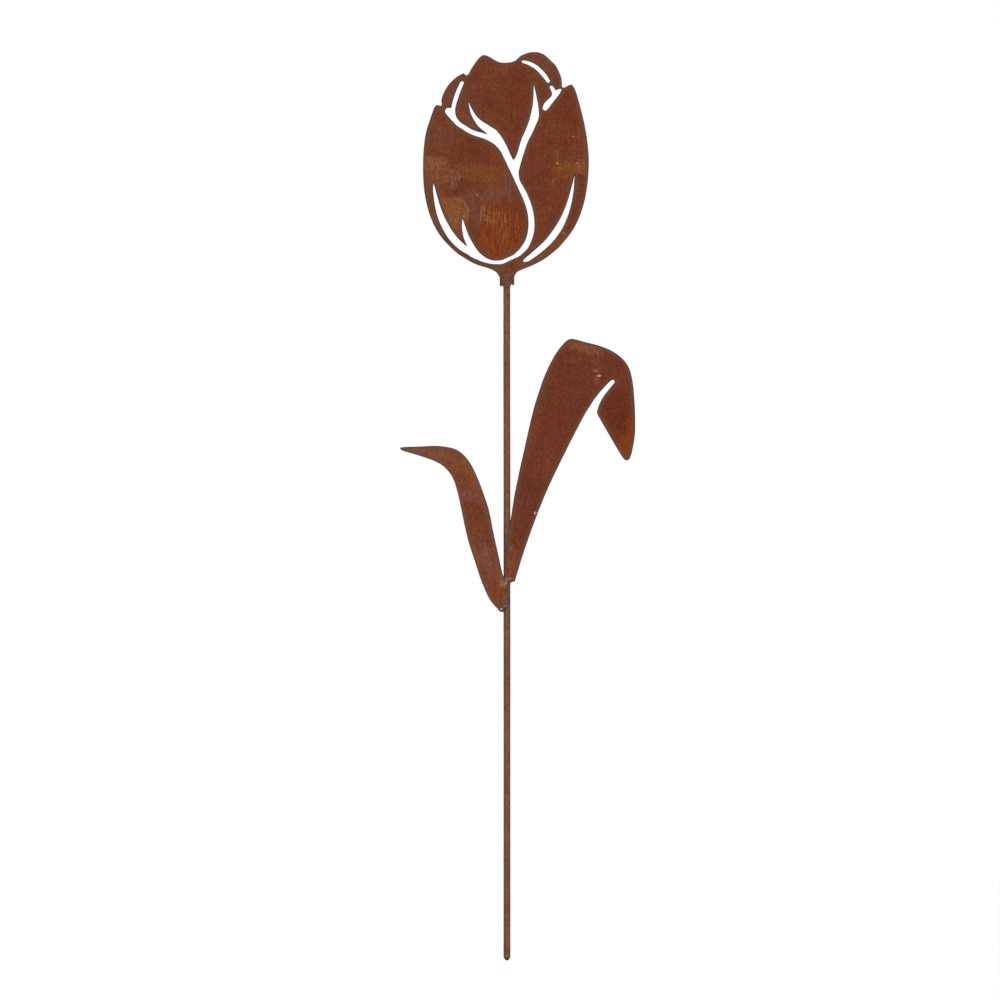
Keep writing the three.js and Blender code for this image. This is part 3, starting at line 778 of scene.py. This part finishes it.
def rustAndPaintedLightMaterial(name, look):
    # Clouds of two browns, warm and cool mottling, patches, red and olive spots, faint runs and
    # fine grain, marks, and a burnt rim along every cut edge. Some patches and marks are painted
    # shade, a painted shadow and painted highlights rather than rust.
    look = {**usualLook, **look}
    material = bpy.data.materials.new(name)
    shader = startShading(material)["Principled BSDF"]
    place = addNode("TexCoord").outputs["Object"]
    clouds, mottle, spots, runs, grain, broken, fine, fleck, ragged = (
        noise(place, look["sizes"].get(key, size), *rest)
        for key, (size, *rest) in rustNoises.items())
    ragged = times(ragged, 3.2, -1.6)

    swing = lambda field, least, most: fade(field, 0.3, 0.7, least, most)
    tint = lambda under, amount, key: layOver(amount, under, colour(*look[key]))

    shade = tint(colour(*look["dark"]), fade(clouds, 0.35, 0.65), "ground")
    shade = tint(shade, fade(mottle, 0.5, 0.72, 0.0, look["warmAmount"]), "warm")
    shade = tint(shade, fade(mottle, 0.28, 0.42, look["coolAmount"], 0.0), "cool")
    usual = {**usualPatch, "depth": look["depth"], "deep": look["deep"]}
    patches = [patchOf(row, usual) for row in look["patches"]]
    patches += [patchOf(row, {**usual, "depth": sheetBack}) for row in look["behind"]]
    for patch in patches:
        mask, line = patchMask(place, ragged, patch)
        if "streaks" in patch:
            lines = noise(place, patch["streaks"], 3, 0.65, 1.2, (1, 1, 0.12))
            mask = times(mask, fade(lines, 0.47, 0.58))
        elif "swirls" in patch:
            curls = noise(place, patch["swirls"], 3, 0.6, 3.0)
            mask = times(mask, fade(curls, 0.44, 0.54))
        else:
            mask = times(mask, fade(broken, 0.34, 0.56, 0.55, 1.0))
        shade = layOver(mask, shade, colour(*patch["colour"]))
        if line:
            shade = layOver(line, shade, colour(*patch["line"]))
    shade = tint(shade, fade(spots, 0.55, 0.75, 0.0, look["redAmount"]), "red")
    shade = tint(shade, fade(spots, 0.27, 0.44, look["oliveAmount"], 0.0), "olive")
    tone = times(swing(grain, 0.8, 1.22), swing(runs, 0.92, 1.08))
    tone = times(tone, swing(fine, 0.86, 1.14))
    greyer = times(tone, swing(fleck, 0.91, 1.08))
    bluer = times(greyer, swing(fleck, 0.88, 1.09))
    toneColour = addNode("CombineColor", {0: tone, 1: greyer, 2: bluer}).outputs[0]
    shade = layOver(1.0, shade, toneColour, "MULTIPLY")

    height = times(fine, 0.25, times(grain, 0.5, times(mottle, 0.5)))
    for row in look["marks"]:
        mark = patchOf(row, {**usual, **usualMark})
        mask, line = patchMask(place, ragged, mark)
        shade = layOver(mask, shade, colour(*mark["colour"]))
        height = times(mask, 0.3, height)
    if "rim" in look:
        rim = reading("rim")
        for raggedness, low, high, key in ((1.6, 1.5, 4.5, "blush"), (0.5, 0.4, 4.4, "heat")):
            away = times(ragged, raggedness, rim)
            shade = tint(shade, fade(away, low, high, look[key + "Amount"], 0.0), key)
        away = calc("SUBTRACT", rim, fade(clouds, 0.4, 0.6, -0.25, 0.6))
        shade = tint(shade, fade(away, 0.1, 1.1, look["rimAmount"], 0.0), "rim")
        cut = reading("cutFace")
        drag = {"W": reading("alongCut"), "Scale": 2.2, "Detail": 2.0}
        lines = addNode("TexNoise", drag, noise_dimensions="1D").outputs["Fac"]
        shade = tint(shade, times(cut, fade(lines, 0.4, 0.65, 0.0, 0.5)), "cut")
        height = times(times(lines, cut), 0.8, height)
    relief = {"Height": height, "Distance": look["bumpDistance"], "Strength": look["bump"]}
    bump = addNode("Bump", relief)
    link(shade, shader.inputs["Base Color"])
    link(fade(mottle, 0.3, 0.75, *look["roughness"]), shader.inputs["Roughness"])
    link(bump.outputs[0], shader.inputs["Normal"])
    shader.inputs["Specular IOR Level"].default_value = look["shine"]
    return material


headPatches = [
    # tide marks on the left petal
    (-60.2, 718.6, 17.5, 15.7, 0, 115, 67, 47),
    (-47.1, 700.3, 11.3, 3.5, 0, 113, 55, 31, 0.6, 0.25),
    (-65.4, 695.9, 14, 6.1, 8, 129, 84, 52, 0.9, 0.4, 1.2),
    (-64.6, 699.4, 14.8, 2.1, 14, 136, 84, 60, 0.5, 0.5, 1),
    (-60.2, 688.9, 13.1, 5.2, 12, 127, 76, 43, 0.8, 0.25, 1.2),
    (-25.3, 688.9, 23.6, 7, 4, 125, 71, 39, 0.75),
    (-8.7, 676.7, 12.2, 5.2, 20, 126, 74, 40, 0.6),
    (-48, 682, 10.5, 9.6, 0, 104, 58, 40, 0.5, 0.25, 1, {"swirls": 8}),
    (-47.1, 682.8, 7, 7.9, 0, 134, 88, 68, 0.6, 0.25, 1.1, {"swirls": 8}),
    (-61.9, 682, 7.9, 7, 0, 125, 75, 48, 0.7, 0.25, 0.9),
    (-60.2, 645.3, 13.1, 2.6, 58, 140, 78, 36, 0.55),
    (-16.5, 668, 18.3, 6.1, -8, 116, 70, 53, 0.85),
    (1.8, 673.2, 5.2, 12.2, -25, 114, 66, 50),
    (-27.9, 652.3, 4.4, 14, -14, 114, 67, 53, 0.8),
    (-47.1, 653.2, 14.4, 14, -15, 134, 84, 52, 0.9, 0.12, 0.2,
     {"line": (146, 94, 62), "lineFrom": -45}),
    (-41.9, 645.3, 6.1, 7.9, -20, 136, 80, 44, 0.6, 0.5, 0.8),
    (-55, 661, 4.4, 10.5, -22, 138, 77, 44),
    (-42.7, 658.4, 7.9, 7, 0, 120, 68, 38, 0.5, 0.25, 1, {"swirls": 5}),
    (-42.7, 637.4, 2.6, 6.1, -10, 138, 74, 30, 0.8, 0.25),
    # where water ran down
    (-4.3, 635.7, 19.2, 22.7, 0, 124, 61, 25, 0.95, 0.25),
    (-16.5, 652.3, 7.9, 9.6, 0, 148, 92, 62, {"streaks": 1.2}),
    (-2.6, 645.3, 10.5, 12.2, 0, 144, 86, 48, 0.6, {"streaks": 1.1}),
    (-3.4, 629.6, 17.5, 14.8, 0, 136, 74, 38, 0.5, 0.4, {"streaks": 1.7}),
    (-6.1, 640.1, 19.2, 22.7, 0, 101, 44, 22, 0.85, 0.3, {"streaks": 1.9}),
    (-20, 627, 6.1, 8.7, -15, 130, 58, 28, 0.7, 0.4),
    (15.8, 608.6, 9.6, 5.2, -20, 128, 68, 26, 0.75, 0.25),
    (-8.7, 614.7, 5.7, 2.3, 0, 133, 46, 22, 0.75, 0.6),
    # right petal
    (51.6, 689.8, 13.1, 7.9, -8, 126, 74, 34, 0.9, 0.25, 1.2, {"under": 698.1}),
    (66.4, 692.4, 7.9, 6.1, 0, 130, 80, 42, 0.8, 0.25, 1.2, {"under": 698.1}),
    (66.4, 716, 4.4, 13.1, -7, 119, 67, 32, 0.6, 0.4, 1),
    (61.2, 635.7, 14, 3.9, -56, 124, 56, 22, 0.7, 0.4, 0.8),
    (46.3, 682.8, 11.3, 6.1, -25, 115, 60, 31, 0.75, 0.25, 1.1),
    (41.1, 667.1, 10.5, 11.3, 0, 115, 57, 31),
    (29.7, 645.3, 6.1, 14.8, 6, 120, 59, 30, 0.75),
    (24.5, 673.2, 12.2, 22.7, 10, 104, 52, 35, 0.6, 0.6),
    (37.6, 620.9, 22.7, 4.4, -40, 128, 65, 32, 0.8, 0.25, 0.9),
    (56.8, 641.8, 5.2, 7.9, 25, 119, 50, 29, 0.7, 0.25),
    # upper lobes and the strip inside the left cut
    (34.1, 783.2, 14.8, 7.9, 25, 113, 68, 48),
    (-34, 731.7, 10.5, 7.9, 30, 124, 66, 39, 0.7, 0.25),
    (-48, 758.8, 7, 10.5, 20, 116, 68, 50, 0.6),
    (-31.4, 757.9, 11.3, 9.6, 0, 105, 60, 49, 0.65, 0.6),
    (-3.4, 778.9, 14, 6.1, 0, 128, 76, 56, 0.5, {"streaks": 2.4}),
    # neck
    (-3.4, 601.6, 7.9, 5.2, 0, 114, 74, 56, 0.8),
    (-0.8, 595.5, 3.5, 5.2, 0, 122, 68, 50, 0.8, 0.4),
]
headBehind = [
    (42.8, 676.7, 24.4, 8.7, -6, 128, 80, 48, 0.8, 0.4, 1.2),
    (33.2, 642.7, 13.1, 12.2, 0, 130, 82, 54, 0.8, 0.14, 0.25, {"line": (142, 92, 62)}),
    (-25.3, 640.1, 22.7, 21, 0, 124, 62, 30, 0.85, 0.4),
    (-23.5, 645.3, 21, 22.7, 0, 102, 48, 26, 0.75, 0.4, {"streaks": 2}),
    (-32.3, 716.9, 22.7, 12.2, 8, 116, 70, 52, 0.75),
    (2.7, 743.1, 19.2, 29.7, 0, 122, 70, 44, 0.6, {"streaks": 2.4}),
    (-0.8, 597.3, 8.7, 7.9, 0, 88, 62, 46, 0.85, 0.5, 0.8),
]
headMarksAndPaintedShade = [
    (44.1, 696.4, 0.7, 1.1, 0, 184, 132, 104, 1),
    (44.1, 702.9, 0.5, 5.2, 0, 150, 94, 66),
    (41.1, 704.7, 0.5, 2.6, 0, 136, 84, 58, 0.4),
    (32.8, 702, 0.8, 0.8, 0, 132, 84, 58, 0.5),
    (64.6, 699.2, 3, 0.4, 0, 164, 112, 78),
    (67.3, 696.8, 3, 0.3, 4, 150, 98, 60),
    (63.8, 694.2, 3.5, 0.4, 3, 150, 98, 58, 0.5),
    (52.4, 685, 0.4, 3.5, 20, 150, 98, 66, 0.4),
    (40.6, 681.1, 0.5, 2.6, 28, 148, 98, 74),
    (61.2, 696.8, 0.9, 0.7, 0, 170, 118, 72, 0.8),
    (58.1, 719.9, 0.8, 0.6, 0, 168, 116, 82, 0.8),
    (49.4, 635.4, 2.8, 0.5, 32, 176, 124, 84, 0.9),
    (-26.1, 668.9, 1.1, 0.8, 0, 150, 102, 76, 0.9),
    (-21.8, 665.4, 0.6, 1.4, 0, 140, 90, 68, 0.7),
    (-37.8, 650.1, 0.7, 1, 0, 176, 124, 92, 1),
    (-22.7, 649.7, 0.5, 7, 3, 156, 104, 72),
    (-17.2, 647, 0.5, 5.2, 0, 152, 98, 62),
    (-1.7, 647.9, 0.6, 3.5, 0, 158, 104, 66),
    (-12.2, 641.8, 0.4, 7.9, 0, 150, 94, 56, 0.5),
    (-3.1, 649.2, 0.5, 3.1, 6, 84, 40, 20, 0.7),
    (0.3, 649.7, 0.4, 2.3, -12, 84, 40, 20, 0.7),
    (-6.7, 645.7, 0.4, 2.8, 8, 90, 42, 22),
    (-13.6, 650.5, 0.4, 3, 0, 92, 46, 28),
    (29.7, 615.2, 1.4, 0.7, -35, 156, 106, 60, 0.7),
    # painted shade: both folded ears are darkened where they turn away from the front light
    (-5.2, 595.1, 1.9, 6.5, 0, 66, 58, 44, 0.85, {"deep": 8}),
    (5.3, 593.8, 1.7, 4.8, 0, 76, 66, 50, 0.85, {"deep": 8}),
    (-0.8, 590.6, 5.2, 1.7, -8, 110, 84, 58, 0.8),
    (-4.3, 599.9, 0.5, 1.7, 25, 70, 56, 44),
    (-2.1, 594.2, 0.6, 0.6, 0, 140, 104, 84, 0.5),
    (-5.6, 603, 2.6, 1.2, 15, 96, 76, 48),
]
headLook = {
    "ground": (111, 57, 35), "dark": (103, 52, 32), "warm": (126, 64, 31), "cool": (112, 65, 48),
    "red": (118, 47, 27), "olive": (110, 66, 38), "blush": (114, 55, 36),
    "heat": (105, 76, 62), "rim": (66, 48, 44), "cut": (84, 58, 46),
    "patches": headPatches, "behind": headBehind, "marks": headMarksAndPaintedShade,
}

broadPatches = [
    (62, 536.6, 12.2, 3.5, 10, 134, 79, 50, 0.75, 0.4, 1.1),
    (72.5, 534, 11.3, 4.4, 16, 128, 81, 57, 0.75, 0.4, 1.3),
    (59.4, 523.9, 6.1, 1.4, -6, 124, 72, 52, 0.45, 0.5, 1.1),
    (31.5, 492.5, 3.5, 14, 14, 100, 60, 32, 0.6),
    (23.6, 463.7, 3.5, 19.2, 14, 119, 60, 31),
    (96.1, 480.3, 9.6, 17.5, -5, 96, 41, 24, 0.9),
    (107.4, 465.5, 2.8, 13.1, 0, 128, 56, 20, 0.85),
    (103.1, 449.7, 7, 8.7, 20, 122, 62, 20, 0.9, 0.25, 0.7),
    (92.6, 461.1, 4.4, 3.5, 35, 120, 40, 25, 0.45, 0.6),
    (34.1, 429.7, 2.3, 7.9, 10, 116, 70, 52, 0.45, 0.6),
    (14.9, 398.2, 3.5, 7.9, 10, 104, 52, 46),
    (5.3, 346.7, 6.1, 13.1, 8, 131, 69, 43, 0.75, 0.4, 0.8),
    (4.8, 347.6, 1.7, 3.5, 0, 112, 72, 42, 0.5, 0.25, 0.9),
    (4.8, 338.4, 1.3, 3.5, 0, 132, 50, 32, 0.6, 0.6),
    (2, 340.6, 0.7, 6.1, 3, 138, 78, 44, 0.6, 0.6),
    (-0.1, 340.2, 1.3, 3.9, 0, 76, 54, 30, 0.9),
]
broadBehind = [
    (70.8, 531.8, 22.7, 7.9, 12, 128, 80, 54, 0.8, 0.4, 1.2),
    (100.4, 472.4, 10.5, 22.7, -6, 122, 64, 30, 0.7, 0.5, 0.9),
    (33.2, 463.7, 10.5, 29.7, 14, 120, 70, 48, 0.6, {"streaks": 2.2}),
    (4.4, 348.5, 7.9, 15.7, 8, 92, 56, 38, 0.8, 0.5, 0.8),
]
broadMarks = [
    (77.3, 515.4, 2.4, 0.9, 0, 150, 102, 82, 0.8),
    (80.4, 510.9, 1.7, 0.8, -10, 198, 150, 124, 1),
    (78.2, 506.5, 2.6, 3.9, 0, 128, 72, 56),
    (94.3, 506.5, 1.9, 3.9, -30, 88, 50, 30, 0.7),
    (24.7, 391.1, 1, 1.2, 0, 226, 202, 184, 1),
    (24.5, 389, 2.3, 0.5, 0, 70, 44, 32, 0.8),
    (3.2, 360.4, 1.9, 2.9, 10, 122, 88, 68, 0.75, 0.7),
    (4.2, 331.7, 1.9, 0.7, 0, 112, 94, 88, 0.8),
]
broadLook = {
    "ground": (109, 55, 35), "dark": (102, 51, 33), "warm": (121, 61, 32), "cool": (109, 60, 43),
    "red": (116, 45, 28), "olive": (104, 62, 36), "blush": (118, 52, 36),
    "heat": (104, 76, 64), "rim": (68, 50, 46), "cut": (84, 58, 46),
    "patches": broadPatches, "behind": broadBehind, "marks": broadMarks,
}

slenderPatches = [
    (-83.8, 447.1, 12.2, 4.4, 0, 122, 82, 66, 0.9),
    (-70.7, 442.8, 8.7, 3.1, 10, 127, 70, 50),
    (-63.7, 448, 17.5, 2.3, 0, 116, 78, 52, 0.8),
    (-58.4, 441.4, 9.6, 5.2, 15, 127, 79, 57, 0.8),
    (-42.7, 434, 7.9, 11.3, 30, 125, 71, 37, 0.8),
    (-34.9, 430.5, 3.5, 6.1, -25, 140, 78, 40, 0.6, 0.4, 1.2),
    (-27.9, 415.7, 5.2, 7.9, -20, 138, 74, 38, 0.6, 0.4, 1.3),
    (-26.1, 416.6, 2.2, 3.5, -20, 120, 84, 40, 0.6, 0.4, 1.1),
    (-34, 407, 5.7, 6.1, -15, 124, 76, 63, 0.8, 0.4),
    (-28.8, 391.3, 7.9, 8.7, -15, 107, 54, 31, 0.9),
    (-25.3, 371.2, 7.9, 10.5, -15, 112, 61, 43),
    (-27, 353.7, 3.1, 7.9, -25, 135, 77, 40, 0.8, 0.25, 1),
    (-17.4, 350.2, 4.8, 14.8, -18, 122, 75, 64, 0.9, 0.4),
    (-9.4, 344.1, 1.9, 14.8, -11, 130, 72, 42),
    (-8.5, 335.4, 0.7, 10.5, -4, 134, 78, 36, 0.6, 0.6),
    (-14.4, 339.7, 0.8, 10.5, -6, 128, 74, 40, 0.5, 0.6),
    (-18.3, 325.8, 2.6, 7.9, -28, 118, 68, 64),
    (-12.2, 320.5, 4.4, 6.1, -20, 130, 62, 42, 0.8),
    (-11.7, 317, 1.4, 3.5, -25, 138, 50, 32, 0.5, 0.6),
    (-4.8, 317, 4.4, 8.7, 0, 118, 62, 34, 0.85, 0.3),
    (-4.8, 314.4, 1.2, 7.9, 0, 104, 56, 32, 0.6),
    (-4.3, 334.5, 2.3, 3.9, -12, 124, 86, 72, 0.7, 0.25, 0.9),
    (-4.3, 330.1, 2.8, 3, 0, 134, 100, 84, 0.85, 0.25, 0.8),
    (-6.5, 324, 0.9, 2.6, 0, 138, 80, 36, 0.6, 0.25),
]
slenderBehind = [
    (-58.4, 441.9, 14, 5.2, 12, 126, 80, 58, 0.8, 0.25, 1),
    (-32.3, 414.8, 7.9, 14, -20, 134, 76, 42, 0.7, 0.4, 1.2),
    (-18.3, 350.2, 6.1, 19.2, -18, 116, 70, 60, 0.8),
]
slenderMarks = [
    (-1.4, 324.4, 0.9, 1.2, 0, 96, 42, 18, 0.9),
    (-2.9, 321.4, 1.3, 0.7, 0, 150, 92, 60),
]
slenderLook = {
    "ground": (116, 65, 43), "dark": (108, 56, 36), "warm": (128, 72, 38), "cool": (116, 69, 53),
    "red": (124, 56, 34), "olive": (114, 74, 44), "blush": (120, 64, 46),
    "heat": (108, 80, 66), "heatAmount": 0.65, "rim": (78, 58, 50), "cut": (88, 62, 50),
    "patches": slenderPatches, "behind": slenderBehind, "marks": slenderMarks,
}

barPatchesAndPaintedShadow = [
    (0, 299.6, 5.2, 11.3, 0, 112, 84, 62, 0.8),
    (0, 489.9, 5.2, 113.5, 0, 117, 80, 56),
    # painted shadow: the bar's left side is darkened where the broad leaf shades it
    (-2.2, 360.7, 1.1, 24.4, 0, 84, 56, 44, 0.75, 0.4),
    (2.1, 317.9, 2.3, 12.2, 0, 98, 78, 60, 0.75, 0.4),
]
barMarks = [
    (0, 0.6, 5.2, 2.3, 0, 62, 46, 38, 0.8),
    (-0.3, 4.2, 0.8, 0.8, 0, 170, 130, 108, 0.7),
]
barLook = {
    "sizes": {"clouds": 30, "mottle": 5, "spots": 4}, "depth": 0, "deep": 9,
    "ground": (126, 86, 71), "dark": (117, 78, 64), "warm": (138, 92, 72), "cool": (114, 84, 72),
    "red": (124, 70, 52), "olive": (112, 82, 58), "warmAmount": 0.55, "redAmount": 0.4,
    "oliveAmount": 0.4, "bump": 0.45, "shine": 0.03,
    "patches": barPatchesAndPaintedShadow, "marks": barMarks,
}

weldPatchesAndPaintedHighlight = [
    # painted highlight: the lit top of the joint bead, lighter tan
    (0.5, 334.5, 3.5, 1.7, 0, 152, 108, 86, 0.8, 0.25),
    (-4.3, 328.4, 3.5, 3.5, 0, 140, 104, 80, 0.7, 0.25),
    (5.6, 334, 1.4, 1.2, 0, 112, 84, 78, 0.8, 0.25),
    (4.8, 331.4, 2.6, 1.1, 0, 92, 68, 56, 0.9, 0.25),
    (-0.8, 315.3, 3.5, 11.3, 0, 118, 76, 54, 0.9, 0.25),
    (-5.6, 305.7, 4.8, 3.9, 0, 66, 50, 40, 0.95, 0.25),
    (0, 590.3, 5.2, 3, 0, 112, 80, 56, 0.9, 0.25),
]
weldMarksAndPaintedLight = [
    # painted shade: dark lines in the creases between the joint bead's drops
    (4.9, 332.8, 2.1, 0.4, 0, 70, 52, 46, 0.8),
    (1.4, 331.5, 1.4, 0.4, -50, 78, 56, 44, 0.7),
    (-1.2, 323.6, 0.8, 1.4, 0, 88, 42, 24, 0.8),
    (-1.4, 317.5, 0.7, 0.6, 0, 150, 116, 100, 0.7),
    (0, 313.6, 0.6, 1, 0, 146, 112, 92, 0.7),
    (-1, 310.1, 0.7, 0.7, 0, 150, 116, 98, 0.7),
    # painted highlights: light spots on the tops of the joint bead's drops
    (2.1, 335.4, 0.7, 0.5, 0, 176, 136, 112, 0.8),
    (6.2, 334.3, 0.8, 0.6, 0, 158, 122, 106, 0.8),
    (-1.7, 329.6, 1.6, 0.5, -35, 168, 130, 104, 0.7),
]
weldLook = {
    "sizes": {"clouds": 9, "mottle": 3, "spots": 2.2}, "depth": -5, "deep": 9,
    "ground": (134, 97, 74), "dark": (104, 72, 54), "warm": (158, 114, 88), "cool": (96, 76, 60),
    "red": (120, 66, 44), "olive": (118, 96, 62), "bump": 0.7,
    "patches": weldPatchesAndPaintedHighlight, "marks": weldMarksAndPaintedLight,
}

sheets = {
    "tulip_head": (tulipHead, "rustyFlowerPaintedShade", headLook),
    "broad_leaf": (broadLeaf, "rustyBroadLeaf", broadLook),
    "slender_leaf": (slenderLeaf, "rustySlenderLeaf", slenderLook),
}
for nodeName, (piece, materialName, look) in sheets.items():
    piece.data.materials.append(rustAndPaintedLightMaterial(materialName, look))
    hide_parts(nodeName)
    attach(piece, "root")

stemRod.data.materials.append(rustAndPaintedLightMaterial("rustyBarPaintedShadow", barLook))
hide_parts("stem_rod")
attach(stemRod, "root")

beads = {
    "neck_weld_front": neckWeldFront,
    "neck_weld_left": neckWeldLeft, "neck_weld_right": neckWeldRight,
    "broad_leaf_back_weld": leafBackWeld, "leaf_joint_weld": leafJointWeld,
    "slender_leaf_seam_weld": leafSeamWeld, "slender_leaf_foot_weld": leafFootWeld,
}
weldRustAndPaintedLight = rustAndPaintedLightMaterial("rustyWeldPaintedLight", weldLook)
for nodeName, piece in beads.items():
    piece.data.materials.append(weldRustAndPaintedLight)
    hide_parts(nodeName)
    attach(piece, "root")
print("rust laid on")


studio = {
    "floorBelow": 0.0002,
    "floorRadius": 3.0,
    "glowReach": (0.6, 3.0),      # between these distances the floor's own white grows
    "glow": (0.945, 0.98),
    "floorSides": 96,
    "floorShade": 0.86,           # as the light on the stake meets it
    "catcherShade": 0.09,         # of what the camera sees besides the glow
    "skyStrength": 0.18,
    "lamps": {"key": (44.6, (-0.1, -2.5, 1.0)), "back": (44.0, (0.2, 2.5, 1.3))},  # power, place
    "lampSize": 1.2,
    "aim": (0.0, 0.0, 0.42),
    "camera": (-0.00608, -2.06555, 0.4026),
    "lens": 85.0,
}


def seenDirectly():
    # 1 for rays from the camera and for those seen in a reflection or through glass
    light = addNode("LightPath")
    seen = calc("MAXIMUM", light.outputs["Is Camera Ray"], light.outputs["Is Glossy Ray"])
    return calc("MAXIMUM", seen, light.outputs["Is Transmission Ray"])


sky = bpy.data.worlds.new("studioSky")
bpy.context.scene.world = sky
background = startShading(sky)["Background"]
background.inputs["Color"].default_value = (1, 1, 1, 1)
link(fade(seenDirectly(), 0, 1, studio["skyStrength"], 1.0), background.inputs["Strength"])

x, y = circle(studio["floorSides"])
ring = np.c_[x, y, np.zeros(len(x))] * studio["floorRadius"] * 1000
floorPoints = ring - [0, 0, studio["floorBelow"] * 1000]
floorFace = [np.arange(len(x))[None]]
studioFloor = newObject("studioFloor", floorPoints, floorFace, smooth=False, inBox=False)
paint = bpy.data.materials.new("paleFloor")
paintNodes = startShading(paint)
matte = paintNodes["Principled BSDF"]
matte.inputs["Base Color"].default_value = (*[studio["floorShade"]] * 3, 1)
matte.inputs["Roughness"].default_value = 0.9
matte.inputs["Specular IOR Level"].default_value = 0.0
place = addNode("TexCoord").outputs["Object"]
fromMiddle = addNode("VectorMath", {0: place}, operation="LENGTH").outputs["Value"]
glowStrength = fade(fromMiddle, *studio["glowReach"], *studio["glow"])
glow = addNode("Emission", {"Color": (1, 1, 1, 1), "Strength": glowStrength})
catcherColour = (*[studio["catcherShade"]] * 3, 1)
shadowCatcher = addNode("BsdfDiffuse", {"Color": catcherColour})
lit = addNode("AddShader", {0: glow.outputs[0], 1: shadowCatcher.outputs[0]})
shaders = {0: seenDirectly(), 1: matte.outputs[0], 2: lit.outputs[0]}
floorMix = addNode("MixShader", shaders)
link(floorMix.outputs[0], paintNodes["Material Output"].inputs["Surface"])
studioFloor.data.materials.append(paint)

for lampName, (power, where) in studio["lamps"].items():
    lamp = bpy.data.lights.new(lampName + "Lamp", "AREA")
    lamp.shape, lamp.size, lamp.energy = "DISK", studio["lampSize"], power
    lampObject = addObject(lampName + "Lamp", lamp)
    lampObject.location = where
    aim = Vector(studio["aim"]) - lampObject.location
    lampObject.rotation_euler = aim.to_track_quat("-Z", "Y").to_euler()

camera = bpy.data.cameras.new("photoCamera")
camera.lens, camera.sensor_width = studio["lens"], 36.0
cameraObject = addObject("photoCamera", camera)
cameraObject.location = studio["camera"]
cameraObject.rotation_euler = (math.radians(90), 0, 0)
bpy.context.scene.camera = cameraObject
bpy.context.scene.view_settings.view_transform = "Standard"

print("floor, light and camera set")
